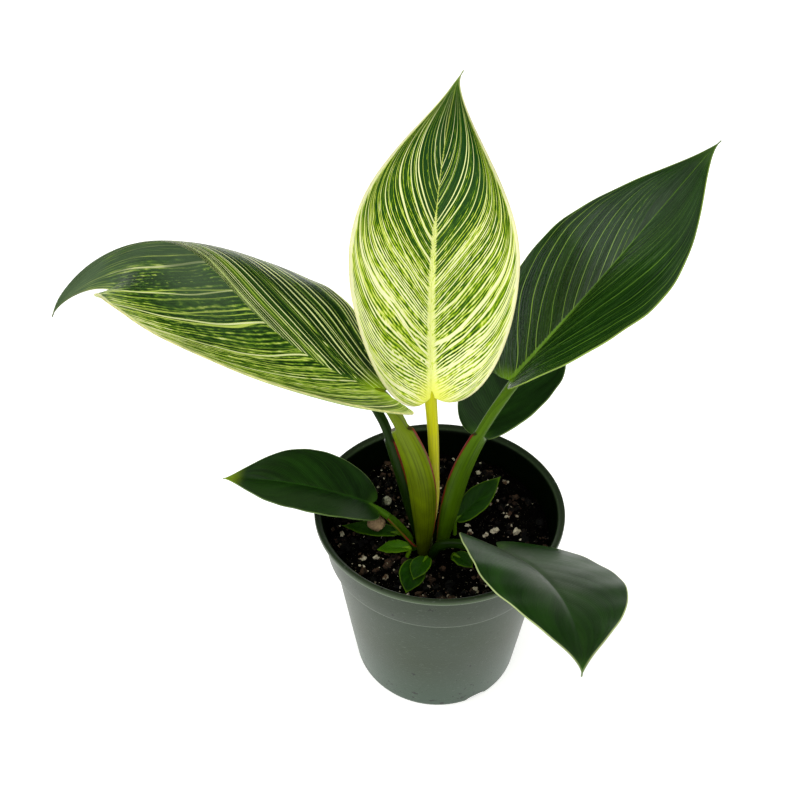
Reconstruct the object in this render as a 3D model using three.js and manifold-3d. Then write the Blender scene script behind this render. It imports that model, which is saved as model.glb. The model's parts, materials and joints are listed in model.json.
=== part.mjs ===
// A young Philodendron Birkin in its round nursery pot.
// Millimetres, Z up. The origin is the centre of the pot's foot, on the floor.
import * as THREE from 'three';
import { mergeVertices } from 'three/addons/utils/BufferGeometryUtils.js';
import { ConvexGeometry } from 'three/addons/geometries/ConvexGeometry.js';
import Module from 'manifold-3d';

const wasm = await Module();
wasm.setup();

// ---- driving sizes -------------------------------------------------------

// The clearance between neighbouring pieces, and the wider one round the leaf blades.
const GAP = 0.35;
const BLADE_CLEARANCE = 0.7;

const POT = {
  height: 93, rimRadius: 54, neckRadius: 49.6, footRadius: 39.2, wall: 1.4,
  lipDrop: 3, lipWidth: 1.5, collarHeight: 71, collarStep: 2.2, sides: 48,
  notches: 3, notchRadius: 5, notchFlat: 0.44, notchLength: 9, notchTurn: -60,
};

const SOIL = { level: 78, roughness: 0.5, sides: 36, rings: 9, grains: 16, seed: 11 };

// The crown is where every leaf stalk comes out of the soil, round the short stem.
const CROWN = { x: -4.2, y: -12.6, holeRadius: 9.1, holeDepth: 6 };
const STEM = { radius: 2.1, top: 84, bottom: 52 };

const BLADE_THICKNESS = 0.7;
const BLADE_COLUMNS = [-1, -0.76, -0.42, -0.1, 0, 0.1, 0.42, 0.76, 1];

// The big leaf blades. heading turns from +X towards +Y, rise is the climb of the midrib at the
// leaf base and droop how far it has bent down by the tip. swing and bend turn it sideways, roll
// and twist turn the blade about it. widest, baseShare, basePower, tipRound and tipPower give the
// outline. fold lifts both halves like a V and curl bends them on towards the edge; each runs from
// its base value to its tip value, and the right half has its own where they are given.
const BLADES = {
  leaf_blade_newest: {
    base: [-3.6, -11.6, 157.9], length: 120.7, width: 63.1,
    heading: 98, swing: -26, rise: 65, droop: 18, roll: -14, twist: 11,
    widest: 0.4, baseShare: 0.22, basePower: 1.95, tipRound: 2.02, tipPower: 1.66,
    lobe: 0.02, fold: [17, 1], curl: [6, 6], rib: 2.2, stations: 22, colour: '#b9c77f',
  },
  leaf_blade_arching: {
    base: [-21.1, -20.4, 166.6], length: 186.7, width: 86.5,
    heading: 196, swing: 59, bend: -93, rise: 29.5, droop: 75, droopPower: 1.5, roll: 2, twist: -6,
    widest: 0.41, baseShare: 0.23, basePower: 1.95, tipRound: 2.6, tipPower: 1.64,
    lobe: 0.045, fold: [1, -29], curl: [86, -32], foldRight: [10, -31], curlRight: [-17, -38],
    rib: 2.2, stations: 26, colour: '#5f7f4a',
  },
  leaf_blade_right: {
    base: [27.2, 8.6, 151.8], length: 117.5, width: 65.5,
    heading: 28, swing: 2, rise: 45, droop: 0, roll: 15, twist: -42,
    widest: 0.37, baseShare: 0.26, basePower: 2.1, tipRound: 2, tipPower: 1.55,
    lobe: 0.02, fold: [28, 2], curl: [-10, -10], rib: 2, stations: 22, colour: '#2d4a2c',
  },
  leaf_blade_rear: {
    base: [18.5, 21, 113.6], length: 74, width: 47,
    heading: 51, swing: 31, rise: 25, droop: 13, roll: 17, twist: -10,
    widest: 0.37, baseShare: 0.21, basePower: 2.05, tipRound: 2, tipPower: 1.56,
    lobe: 0.03, fold: [19, 5], curl: [0, 0], rib: 1.5, stations: 18, colour: '#27452a',
  },
  leaf_blade_left_low: {
    base: [-29.3, -2.5, 92.3], length: 65.5, width: 37.5,
    heading: 188, swing: -10, rise: 33, droop: 39, roll: -2, twist: 12,
    widest: 0.38, baseShare: 0.29, basePower: 2.27, tipRound: 2.22, tipPower: 1.46,
    lobe: 0.05, fold: [6, 9], curl: [12, 12], rib: 1.2, stations: 18, colour: '#2f5230',
  },
  leaf_blade_front_low: {
    base: [23.4, -32.5, 100.2], length: 84, width: 56,
    heading: -48, swing: -52, rise: 25, droop: 14, roll: 36, twist: -48,
    widest: 0.38, baseShare: 0.29, basePower: 2.1, tipRound: 1.9, tipPower: 1.67,
    lobe: 0.1, lobePower: 1.5, fold: [12, 5], curl: [-7, -7], rib: 1.6, stations: 20, colour: '#3a5a3c',
  },
  leaf_blade_hidden: {
    base: [-30, 6, 146], length: 66, width: 34,
    heading: 165, swing: 12, rise: 20, droop: 25, roll: -12, twist: 0,
    widest: 0.38, baseShare: 0.28, basePower: 2.1, tipRound: 2, tipPower: 1.5,
    lobe: 0.04, fold: [8, 0], curl: [0, 0], rib: 1.4, stations: 16, colour: '#27452a',
  },
};

// The stalks. path runs from the crown to just short of the leaf base, and radius from its lower
// to its upper value. back is the way the rounded back faces. sheath is the flat winged part that
// clasps the next stalk: its share of the path and the reach of its left and right wing.
const STALK = { stations: 14, around: 5 };
const STALKS = {
  leaf_stalk_newest: {
    path: [
      [-4, -12.2, 84.5], [-1.8, -11.6, 105], [-2.2, -11.4, 122],
      [-2.9, -11.4, 139], [-3.6, -11.6, 157.9],
    ],
    radius: [1.7, 2.3], back: [0, -1, 0], colour: '#c3c832',
  },
  leaf_stalk_arching: {
    path: [
      [-6.2, -16.4, 73], [-6, -16.5, 80], [-5.3, -17.3, 98],
      [-7, -18, 122], [-12, -18.8, 142], [-21.1, -20.4, 166.6],
    ],
    radius: [1.7, 2.5], back: [-0.25, -1, 0], sheath: { share: 0.82, left: 5, right: 7.4 },
    colour: '#93a827',
  },
  leaf_stalk_right: {
    path: [
      [1.3, -13, 73], [1.4, -12.9, 80], [3.4, -11, 96],
      [7.9, -6.4, 115], [15, -1, 131], [27.2, 8.6, 151.8],
    ],
    radius: [1.6, 2.1], back: [0.45, -1, -0.1], sheath: { share: 0.72, left: 7.4, right: 3.8 },
    colour: '#6f8a26',
  },
  leaf_stalk_rear: {
    path: [[-1, -7.2, 73], [-0.6, -6.8, 80], [2.8, -2.4, 89], [8.5, 6, 100], [18.5, 21, 113.6]],
    radius: [1.5, 1.7], back: [1, -0.6, 0], colour: '#38552a',
  },
  leaf_stalk_left_low: {
    path: [
      [-10.4, -13.2, 73], [-10.6, -13, 79.8], [-16.5, -9.2, 85.6],
      [-22.4, -5.4, 89], [-29.3, -2.5, 92.3],
    ],
    radius: [1.5, 1.4], back: [0, -0.4, -1], sheath: { share: 0.7, left: 2.6, right: 2.6 },
    colour: '#4f7a2b',
  },
  leaf_stalk_front_low: {
    path: [
      [-2.1, -18.9, 73], [-2.1, -19.1, 80], [1, -21, 88.2],
      [9.2, -23, 91.8], [17.3, -27.5, 93.6], [23.4, -32.5, 100.2],
    ],
    radius: [1.7, 1.9], back: [0, -0.3, -1], colour: '#2c4526',
  },
  leaf_stalk_hidden: {
    path: [
      [-8.2, -8.2, 73], [-8.6, -8, 80], [-11.6, -6.8, 94],
      [-17.3, -3.4, 117], [-23.6, 0.6, 137], [-30, 6, 146],
    ],
    radius: [1.5, 1.9], back: [-0.7, -0.7, 0], sheath: { share: 0.74, left: 2.6, right: 6 },
    colour: '#3d5a28',
  },
};

// Small leaves round the crown, each with a short stalk that stands in its own hole in the soil.
const BASAL_STALK = { radius: 0.9, holeRadius: 1.7, holeDepth: 5 };
const BASAL_COLUMNS = [-1, -0.5, 0, 0.5, 1];
const BASAL_FORM = {
  swing: 0, twist: 0, widest: 0.45, baseShare: 0.2, basePower: 1.9, tipRound: 2, tipPower: 1.2,
  lobe: 0, fold: [12, 4], curl: [0, 0], rib: 0.5, stations: 8,
};
const BASAL = {
  basal_leaf_left_long: {
    root: [-14.5, -7.5], base: [-17.5, -8, 80.7], length: 25, width: 8.5,
    heading: 172, rise: 1, droop: 3, roll: 0,
  },
  basal_leaf_left: {
    root: [-12.8, -19.8], base: [-11.8, -18.6, 83], length: 14, width: 8.5,
    heading: 182, rise: 10, droop: 30, roll: -8,
  },
  basal_leaf_front: {
    root: [-8.2, -24], base: [-8.4, -25, 82.2], length: 16, width: 11,
    heading: 256, rise: 5, droop: 25, roll: 10,
  },
  basal_leaf_front_upper: {
    root: [-4.2, -24.6], base: [-4.4, -25.4, 85.2], length: 12, width: 9,
    heading: 244, rise: 10, droop: 40, roll: -10,
  },
  basal_leaf_front_right: {
    root: [6.6, -18.6], base: [7.2, -20, 81.6], length: 10, width: 8,
    heading: -40, rise: 12, droop: 30, roll: 0,
  },
  basal_leaf_right: {
    root: [7.4, -5.1], base: [7.6, -3.4, 85.5], length: 27, width: 12,
    heading: 32, rise: 30, droop: -10, roll: -12,
  },
};

// The bigger pale grains that lie on the soil: x, y, radius.
const BIG_GRAINS = [
  [13, 0, 1.1], [14, -4, 1.2], [21, -5, 1.4], [25, -2, 1.5], [34, -2, 2], [32, 2, 1.1], [31, 29, 1.6],
  [-42, -8, 1.3], [-42, -14, 1.2], [-32, -21, 1.5], [-26, -21, 1.3], [-20, -24, 1.2],
  [-21, -31, 1.3], [16, -36, 1.5],
];

// Two loose lumps on the soil.
const BARK_CHIP = { centre: [-26.8, -6.9, 85.4], size: [5.4, 4.4, 3.8], seed: 3 };
const PERLITE_LUMP = { centre: [-23.7, 10.5, 81.8], size: [3, 2.8, 2.6], seed: 7 };

// ---- small helpers -------------------------------------------------------

const rad = THREE.MathUtils.degToRad;
const mix = THREE.MathUtils.lerp;
const vec = (p) => new THREE.Vector3(p[0], p[1], p[2]);

function seeded(seed) {
  let state = seed;
  return () => {
    state = (state * 16807) % 2147483647;
    return state / 2147483647;
  };
}

function pointsOf(geometry) {
  const position = geometry.attributes.position;
  const points = [];
  for (let i = 0; i < position.count; i += 1) {
    points.push(new THREE.Vector3().fromBufferAttribute(position, i));
  }
  return points;
}

function weld(geometry) {
  const bare = geometry.clone();
  for (const name of Object.keys(bare.attributes)) {
    if (name !== 'position') bare.deleteAttribute(name);
  }
  return mergeVertices(bare, 1e-4);
}

function toSolid(geometry) {
  const welded = weld(geometry);
  const mesh = new wasm.Mesh({
    numProp: 3,
    vertProperties: new Float32Array(welded.attributes.position.array),
    triVerts: new Uint32Array(welded.index.array),
  });
  return new wasm.Manifold(mesh);
}

function fromSolid(solid) {
  const mesh = solid.getMesh();
  const geometry = new THREE.BufferGeometry();
  geometry.setAttribute('position', new THREE.BufferAttribute(mesh.vertProperties.slice(), 3));
  geometry.setIndex(Array.from(mesh.triVerts));
  geometry.computeVertexNormals();
  return geometry;
}

// Index the points and make the faces look outwards.
function closedGeometry(points, index) {
  let volume = 0;
  for (let i = 0; i < index.length; i += 3) {
    const [a, b, c] = [points[index[i]], points[index[i + 1]], points[index[i + 2]]];
    volume += a.dot(b.clone().cross(c));
  }
  const outward = volume > 0 ? index : index.slice().reverse();
  const geometry = new THREE.BufferGeometry();
  geometry.setAttribute('position', new THREE.Float32BufferAttribute(points.flatMap((p) => p.toArray()), 3));
  geometry.setIndex(outward);
  geometry.computeVertexNormals();
  return geometry;
}

// A closed skin over two matching grids of points, the upper face and the lower one. Both faces
// are split into triangles alike.
function slab(upper, lower) {
  const rows = upper.length;
  const cols = upper[0].length;
  const points = [...upper.flat(), ...lower.flat()];
  const top = (i, j) => i * cols + j;
  const low = (i, j) => rows * cols + i * cols + j;
  const index = [];
  const quad = (a, b, c, d) => index.push(a, b, c, a, c, d);
  for (let i = 0; i < rows - 1; i += 1) {
    for (let j = 0; j < cols - 1; j += 1) {
      quad(top(i, j), top(i, j + 1), top(i + 1, j + 1), top(i + 1, j));
      index.push(low(i, j), low(i + 1, j + 1), low(i, j + 1));
      index.push(low(i, j), low(i + 1, j), low(i + 1, j + 1));
    }
    quad(top(i, 0), top(i + 1, 0), low(i + 1, 0), low(i, 0));
    quad(top(i, cols - 1), low(i, cols - 1), low(i + 1, cols - 1), top(i + 1, cols - 1));
  }
  for (let j = 0; j < cols - 1; j += 1) {
    quad(top(0, j), low(0, j), low(0, j + 1), top(0, j + 1));
    quad(top(rows - 1, j), top(rows - 1, j + 1), low(rows - 1, j + 1), low(rows - 1, j));
  }
  return closedGeometry(points, index);
}

// A turned solid: the profile is radius and height, and starts and ends on the axis.
function lathe(profile, sides) {
  const turned = new THREE.LatheGeometry(profile.map(([x, y]) => new THREE.Vector2(x, y)), sides);
  turned.rotateX(Math.PI / 2);
  const welded = weld(turned);
  const index = [];
  for (let i = 0; i < welded.index.count; i += 3) {
    const [a, b, c] = [0, 1, 2].map((k) => welded.index.getX(i + k));
    if (a !== b && b !== c && c !== a) index.push(a, b, c);
  }
  return closedGeometry(pointsOf(welded), index);
}

// ---- leaf blades ---------------------------------------------------------

// Half the blade's width at share s of its length: a heart-shaped base and a drawn-out tip.
function halfWidth(s, leaf) {
  const half = leaf.width / 2;
  if (s < leaf.widest) {
    const y = (leaf.widest - s) / leaf.widest;
    return half * (leaf.baseShare + (1 - leaf.baseShare) * Math.sqrt(1 - y ** leaf.basePower));
  }
  const x = (s - leaf.widest) / (1 - leaf.widest);
  return Math.max(half * (1 - x ** leaf.tipRound) ** leaf.tipPower, 0.4);
}

// The midrib as a bent line in space, with the sideways and upward directions along it.
function midrib(leaf) {
  const steps = 200;
  const points = [vec(leaf.base)];
  const frames = [];
  for (let i = 0; i <= steps; i += 1) {
    const s = i / steps;
    const climb = rad(leaf.rise - leaf.droop * s ** (leaf.droopPower ?? 1));
    const turn = rad(leaf.heading + leaf.swing * s + (leaf.bend ?? 0) * Math.sin(Math.PI * s));
    const along = new THREE.Vector3(
      Math.cos(climb) * Math.cos(turn), Math.cos(climb) * Math.sin(turn), Math.sin(climb));
    const level = new THREE.Vector3(Math.sin(turn), -Math.cos(turn), 0);
    const lift = level.clone().cross(along);
    const roll = rad(leaf.roll + leaf.twist * s);
    const side = level.clone().multiplyScalar(Math.cos(roll)).addScaledVector(lift, Math.sin(roll));
    const up = lift.multiplyScalar(Math.cos(roll)).addScaledVector(level, -Math.sin(roll));
    frames.push({ along, side, up });
    if (i < steps) points.push(points[i].clone().addScaledVector(along, leaf.length / steps));
  }
  return (s) => {
    const at = Math.min(Math.round(s * steps), steps);
    return { point: points[at], ...frames[at] };
  };
}

// A point of the blade's middle surface at share s along it and share w across it.
function bladePoint(leaf, rib, s, w) {
  const frame = rib(s);
  const half = leaf.width / 2;
  const reach = halfWidth(s, leaf) * Math.abs(w);
  const [fold0, fold1] = w > 0 && leaf.foldRight ? leaf.foldRight : leaf.fold;
  const [curl0, curl1] = w > 0 && leaf.curlRight ? leaf.curlRight : leaf.curl;
  const fold = rad(mix(fold0, fold1, s));
  const bend = rad(mix(curl0, curl1, s)) / half || 1e-6;
  const across = (Math.sin(fold + bend * reach) - Math.sin(fold)) / bend * Math.sign(w);
  const lift = (Math.cos(fold) - Math.cos(fold + bend * reach)) / bend;
  const lobeShape = Math.sin(Math.PI / 2 * Math.abs(w)) ** (leaf.lobePower ?? 1);
  const back = leaf.lobe * leaf.length * lobeShape * (1 - s) ** 3;
  return frame.point.clone()
    .addScaledVector(frame.side, across)
    .addScaledVector(frame.up, lift)
    .addScaledVector(frame.along, -back);
}

// The direction out of the blade's upper face at s, w.
function bladeNormal(leaf, rib, s, w) {
  const [s0, s1] = [Math.max(s - 0.01, 0), Math.min(s + 0.01, 1)];
  const [w0, w1] = [Math.max(w - 0.05, -1), Math.min(w + 0.05, 1)];
  const ahead = bladePoint(leaf, rib, s1, w).sub(bladePoint(leaf, rib, s0, w));
  const right = bladePoint(leaf, rib, s, w1).sub(bladePoint(leaf, rib, s, w0));
  return right.cross(ahead).normalize();
}

// The blade as a thin closed skin that carries its midrib as a ridge underneath. With spare it is
// that much bigger all round, to cut room for the blade out of a neighbour.
function bladeGeometry(leaf, columns, spare = 0) {
  const rib = midrib(leaf);
  const upper = [];
  const lower = [];
  for (let i = 0; i < leaf.stations; i += 1) {
    const u = i / (leaf.stations - 1);
    const s = mix(u, 0.5 - 0.5 * Math.cos(Math.PI * u), 0.7);
    const over = [];
    const under = [];
    for (const w of columns) {
      const here = bladePoint(leaf, rib, s, w);
      const normal = bladeNormal(leaf, rib, s, w);
      const ridge = w === 0 ? leaf.rib * (1 - s) ** 0.8 : 0;
      here.addScaledVector(rib(s).side, 1.2 * w * spare);
      if (i === 0) here.addScaledVector(rib(0).along, -1.5 * spare);
      over.push(here.clone().addScaledVector(normal, BLADE_THICKNESS / 2 + spare));
      under.push(here.clone().addScaledVector(normal, -BLADE_THICKNESS / 2 - ridge - spare));
    }
    upper.push(over);
    lower.push(under);
  }
  return slab(upper, lower);
}

// ---- stalks --------------------------------------------------------------

// How far the sheath's wings have opened at share u of the sheath: narrow at the crown, widest
// past the middle, and cut off to a free tip at the end.
function wingShare(u) {
  const widest = 0.62;
  if (u >= 1) return 0;
  if (u < widest) return Math.sin(Math.PI / 2 * u / widest) ** 1.2;
  return 1 - 0.45 * ((u - widest) / (1 - widest)) ** 2;
}

// A stalk with a rounded back and a grooved front, less the room that the blades need. Loose
// scraps that this cut leaves are dropped.
function stalkGeometry(stalk, bladeRoom) {
  const curve = new THREE.CatmullRomCurve3(stalk.path.map(vec), false, 'centripetal');
  const end = 1 - 2 * GAP / curve.getLength();
  const rim = BLADE_THICKNESS / 2;
  const outer = [];
  const inner = [];
  for (let i = 0; i < STALK.stations; i += 1) {
    const t = end * i / (STALK.stations - 1);
    const point = curve.getPointAt(t);
    const along = curve.getTangentAt(t);
    const back = vec(stalk.back);
    back.addScaledVector(along, -back.dot(along)).normalize();
    const side = back.clone().cross(along);
    const radius = mix(stalk.radius[0], stalk.radius[1], t);
    const open = stalk.sheath ? wingShare(t / stalk.sheath.share) : 0;
    const left = stalk.sheath ? mix(radius, stalk.sheath.left, open) : radius;
    const right = stalk.sheath ? mix(radius, stalk.sheath.right, open) : radius;
    const groove = mix(radius * 0.8, -radius * 0.1, open);
    const overRow = [];
    const underRow = [];
    for (let j = 0; j <= STALK.around; j += 1) {
      const angle = Math.PI * j / STALK.around;
      const reach = Math.cos(angle) * (angle < Math.PI / 2 ? right : left);
      const bulge = Math.sin(angle);
      const hang = 0.1 * open * Math.abs(reach) ** 1.6;
      const here = point.clone().addScaledVector(side, reach).addScaledVector(back, -hang);
      overRow.push(here.clone().addScaledVector(back, radius * bulge + rim));
      underRow.push(here.clone().addScaledVector(back, -groove * bulge - rim));
    }
    outer.push(overRow);
    inner.push(underRow);
  }
  const cut = toSolid(slab(outer, inner)).subtract(bladeRoom);
  const whole = cut.decompose().reduce((a, b) => (a.volume() > b.volume() ? a : b));
  return fromSolid(whole);
}

// ---- pot, soil and what lies on it --------------------------------------

function potRadius(z) {
  const straight = mix(POT.footRadius, POT.neckRadius, z / (POT.height - POT.lipDrop));
  return straight + (z > POT.collarHeight ? POT.collarStep : 0);
}

// The tapered pot with its wider collar, the narrow lip round its top and the drain notches in its
// foot.
function potGeometry() {
  const { height, rimRadius, footRadius, wall, lipWidth, collarHeight, collarStep } = POT;
  const neck = height - POT.lipDrop;
  const below = potRadius(collarHeight);
  const profile = [
    [0, 0], [footRadius - 0.8, 0], [footRadius, 0.8],
    [below, collarHeight], [below + collarStep, collarHeight + 0.3],
    [potRadius(neck), neck], [rimRadius - 0.5, neck], [rimRadius, neck + 0.6],
    [rimRadius, height - 0.6], [rimRadius - 0.5, height], [rimRadius - lipWidth, height - 0.3],
    [potRadius(neck) - wall, neck - 0.1],
    [below + collarStep - wall, collarHeight + wall + 0.3], [below - wall, collarHeight + 0.3],
    [potRadius(0) - wall, wall], [0, wall],
  ];
  let pot = toSolid(lathe(profile, POT.sides));
  for (let i = 0; i < POT.notches; i += 1) {
    const bar = new THREE.CylinderGeometry(POT.notchRadius, POT.notchRadius, POT.notchLength, 10);
    bar.scale(1, 1, POT.notchFlat);
    bar.rotateZ(Math.PI / 2);
    bar.translate(footRadius - 0.5, 0, 0.4);
    bar.rotateZ(rad(360 * i / POT.notches + POT.notchTurn));
    pot = pot.subtract(toSolid(bar));
  }
  return fromSolid(pot);
}

// The uneven top of the soil.
function soilHeight(x, y) {
  const swell = Math.sin(0.13 * x + 1.1) * Math.cos(0.11 * y - 0.4);
  const lumps = Math.sin(0.47 * x - 0.33 * y) + Math.cos(0.39 * x + 0.52 * y + 2);
  return SOIL.level + SOIL.roughness * (0.9 * swell + 0.45 * lumps);
}

// One pale grain, an angular pebble, pressed a little flat.
function grainGeometry(radius, random) {
  const grain = new THREE.IcosahedronGeometry(radius, 0);
  grain.scale(1, mix(0.7, 1, random()), mix(0.55, 0.8, random()));
  grain.rotateZ(random() * Math.PI);
  grain.rotateX((random() - 0.5) * 0.8);
  return grain;
}

// The soil fills the pot to below the rim. Its grains are fused in where they lie, and the stalks
// and the stem stand in plain holes.
function soilGeometry() {
  const bottom = POT.wall + GAP;
  const insideRadius = (z) => potRadius(z) - POT.wall - GAP - 0.1;
  const low = insideRadius(POT.collarHeight);
  const wide = low + POT.collarStep;
  const edge = wide + 0.7;
  const profile = [
    [0, bottom], [insideRadius(bottom) - 0.4, bottom],
    [low, POT.collarHeight + 0.3], [wide, POT.collarHeight + POT.wall + 0.9],
  ];
  for (let i = 0; i <= SOIL.rings; i += 1) profile.push([edge * (1 - i / SOIL.rings), SOIL.level]);
  const body = lathe(profile, SOIL.sides);
  const position = body.attributes.position;
  for (let i = 0; i < position.count; i += 1) {
    if (position.getZ(i) < SOIL.level - 0.01) continue;
    position.setZ(i, soilHeight(position.getX(i), position.getY(i)));
  }
  let soil = toSolid(body);

  const random = seeded(SOIL.seed);
  const surface = new THREE.Mesh(body);
  const lay = (x, y, radius) => {
    const ray = new THREE.Raycaster(new THREE.Vector3(x, y, POT.height), new THREE.Vector3(0, 0, -1));
    const ground = ray.intersectObject(surface)[0].point.z;
    const grain = grainGeometry(radius, random);
    grain.translate(x, y, ground + radius * 0.1);
    soil = soil.add(toSolid(grain));
  };
  BIG_GRAINS.forEach(([x, y, radius]) => lay(x, y, radius));
  for (let i = 0; i < SOIL.grains; i += 1) {
    const turn = random() * 2 * Math.PI;
    const reach = mix(14, 43, Math.sqrt(random()));
    const radius = mix(0.8, 1.3, random());
    const x = CROWN.x + reach * Math.cos(turn);
    const y = reach * Math.sin(turn);
    const clear = Object.values(BASAL).every((leaf) => Math.hypot(x - leaf.base[0], y - leaf.base[1]) > 18);
    if (clear && Math.hypot(x, y) < 43) lay(x, y, radius);
  }

  const hole = (x, y, radius, depth, sides) => {
    const tall = 40;
    const cut = new THREE.CylinderGeometry(radius, radius, tall, sides);
    cut.rotateX(Math.PI / 2);
    cut.translate(x, y, SOIL.level - depth + tall / 2);
    soil = soil.subtract(toSolid(cut));
  };
  hole(CROWN.x, CROWN.y, CROWN.holeRadius, CROWN.holeDepth, 28);
  hole(CROWN.x, CROWN.y, STEM.radius + 0.45, SOIL.level - STEM.bottom + GAP, 12);
  for (const { root } of Object.values(BASAL)) {
    hole(root[0], root[1], BASAL_STALK.holeRadius, BASAL_STALK.holeDepth, 8);
  }
  return fromSolid(soil);
}

// The short stem in the middle of the crown, rooted in the soil.
function stemGeometry() {
  const { radius, top, bottom } = STEM;
  const stem = lathe([
    [0, bottom], [radius * 0.7, bottom], [radius, bottom + 2], [radius * 0.9, top - 6],
    [radius, top - 4], [radius * 0.8, top - 0.6], [0, top],
  ], 10);
  stem.translate(CROWN.x, CROWN.y, 0);
  return stem;
}

// A basal leaf is one piece: a small blade whose stalk goes down into the soil.
function basalGeometry(leaf) {
  const blade = { ...BASAL_FORM, ...leaf };
  const start = vec(leaf.base);
  const foot = new THREE.Vector3(leaf.root[0], leaf.root[1], SOIL.level - BASAL_STALK.holeDepth + 0.4);
  const knee = new THREE.Vector3(leaf.root[0], leaf.root[1], SOIL.level + 0.8);
  const inside = start.clone().addScaledVector(midrib(blade)(0).along, 3);
  const curve = new THREE.CatmullRomCurve3([foot, knee, start, inside], false, 'centripetal');
  const ring = new THREE.Shape();
  ring.absarc(0, 0, BASAL_STALK.radius, 0, 2 * Math.PI, false);
  const stalk = new THREE.ExtrudeGeometry(ring, {
    extrudePath: curve, steps: 5, curveSegments: 3, bevelEnabled: false,
  });
  return fromSolid(toSolid(bladeGeometry(blade, BASAL_COLUMNS)).add(toSolid(stalk)));
}

// An angular lump: a ball of points pushed in and out by a seeded draw.
function lumpGeometry({ centre, size, seed }) {
  const random = seeded(seed);
  const points = pointsOf(weld(new THREE.IcosahedronGeometry(1, 0)));
  for (const point of points) {
    point.multiplyScalar(mix(0.8, 1.1, random())).multiply(vec(size)).add(vec(centre));
  }
  return weld(new ConvexGeometry(points));
}

// ---- the whole plant -----------------------------------------------------

const plant = new THREE.Group();
plant.name = 'philodendron_birkin';

function place(name, geometry, colour, roughness) {
  const material = new THREE.MeshStandardMaterial({ color: colour, roughness, metalness: 0 });
  material.name = name;
  const mesh = new THREE.Mesh(geometry, material);
  mesh.name = name;
  plant.add(mesh);
}

place('pot', potGeometry(), '#4a5f57', 0.5);
place('soil', soilGeometry(), '#1d1813', 0.95);
place('stem', stemGeometry(), '#55702a', 0.6);

const bladeRoom = Object.values(BLADES)
  .map((leaf) => toSolid(bladeGeometry(leaf, BLADE_COLUMNS, BLADE_CLEARANCE)))
  .reduce((all, next) => all.add(next));
for (const [name, stalk] of Object.entries(STALKS)) {
  place(name, stalkGeometry(stalk, bladeRoom), stalk.colour, 0.45);
}
for (const [name, leaf] of Object.entries(BLADES)) {
  place(name, bladeGeometry(leaf, BLADE_COLUMNS), leaf.colour, 0.4);
}
for (const [name, leaf] of Object.entries(BASAL)) place(name, basalGeometry(leaf), '#4f7a2b', 0.45);

place('bark_chip', lumpGeometry(BARK_CHIP), '#9a7467', 0.9);
place('perlite_lump', lumpGeometry(PERLITE_LUMP), '#b9b7a8', 0.9);

export default plant;
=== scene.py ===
"""A young Philodendron Birkin in its nursery pot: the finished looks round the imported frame.

Blender works in metres, Z up. The leaf and stalk forms below are in millimetres, as a grower would
measure them, and are scaled by MM where a mesh is made.
"""
import json
import math
import random

import bpy
import numpy as np
from mathutils import Matrix, Vector, noise

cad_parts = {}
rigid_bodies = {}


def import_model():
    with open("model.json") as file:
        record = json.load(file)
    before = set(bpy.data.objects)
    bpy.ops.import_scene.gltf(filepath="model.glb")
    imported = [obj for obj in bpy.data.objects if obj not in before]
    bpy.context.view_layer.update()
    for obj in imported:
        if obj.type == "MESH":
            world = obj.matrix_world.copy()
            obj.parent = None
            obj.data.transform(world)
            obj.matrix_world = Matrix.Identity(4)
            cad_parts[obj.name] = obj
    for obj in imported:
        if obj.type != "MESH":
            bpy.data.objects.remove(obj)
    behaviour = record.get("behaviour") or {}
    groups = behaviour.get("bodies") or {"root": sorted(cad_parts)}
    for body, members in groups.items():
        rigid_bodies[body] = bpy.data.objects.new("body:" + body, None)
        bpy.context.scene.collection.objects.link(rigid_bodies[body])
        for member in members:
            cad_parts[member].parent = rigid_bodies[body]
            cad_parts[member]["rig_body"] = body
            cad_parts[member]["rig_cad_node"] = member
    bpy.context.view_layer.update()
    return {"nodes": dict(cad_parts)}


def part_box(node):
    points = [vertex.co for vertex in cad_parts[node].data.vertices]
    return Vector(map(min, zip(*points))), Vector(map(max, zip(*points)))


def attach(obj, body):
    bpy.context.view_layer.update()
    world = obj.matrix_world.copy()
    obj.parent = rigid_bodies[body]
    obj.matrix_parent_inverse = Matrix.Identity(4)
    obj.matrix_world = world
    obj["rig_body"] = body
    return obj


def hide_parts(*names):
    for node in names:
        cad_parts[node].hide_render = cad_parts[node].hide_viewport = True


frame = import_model()

bl_info = {
    "name": "Potted Philodendron Birkin",
    "version": (1, 0, 0),
    "blender": (4, 5, 0),
    "location": "3D View > Sidebar > Plant",
    "description": "Builds a striped aroid house plant, leaf by leaf, in its plastic pot",
    "category": "Object",
}

MM = 0.001
BODY = "root"
POT_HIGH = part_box("pot")[1]
POT_HEIGHT = POT_HIGH.z / MM
RIM_RADIUS = POT_HIGH.x / MM
SEWN_WITHIN = 0.004 * MM


# ---- forms, in millimetres and degrees ------------------------------------------------------

# The pot's wall runs straight from foot to throat and steps out at its collar. The lip's rings say how
# far in from the rim and how far above the neck they are. Flat notches in the foot drain it.
FOOT, THROAT, NECK = 39.2, 49.6, POT_HEIGHT - 3
COLLAR, COLLAR_STEP = 71, 2.2
LIP = [
    (0.7, 0), (0.22, 0.18), (0, 0.75), (0, 2.3), (0.12, 2.7), (0.4, 2.93), (0.75, 3), (1.15, 2.9),
    (1.5, 2.6),
]
NOTCHES, NOTCH_RADIUS, NOTCH_FLATNESS, NOTCH_RISE = 3, 5, 0.44, 0.4

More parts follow.
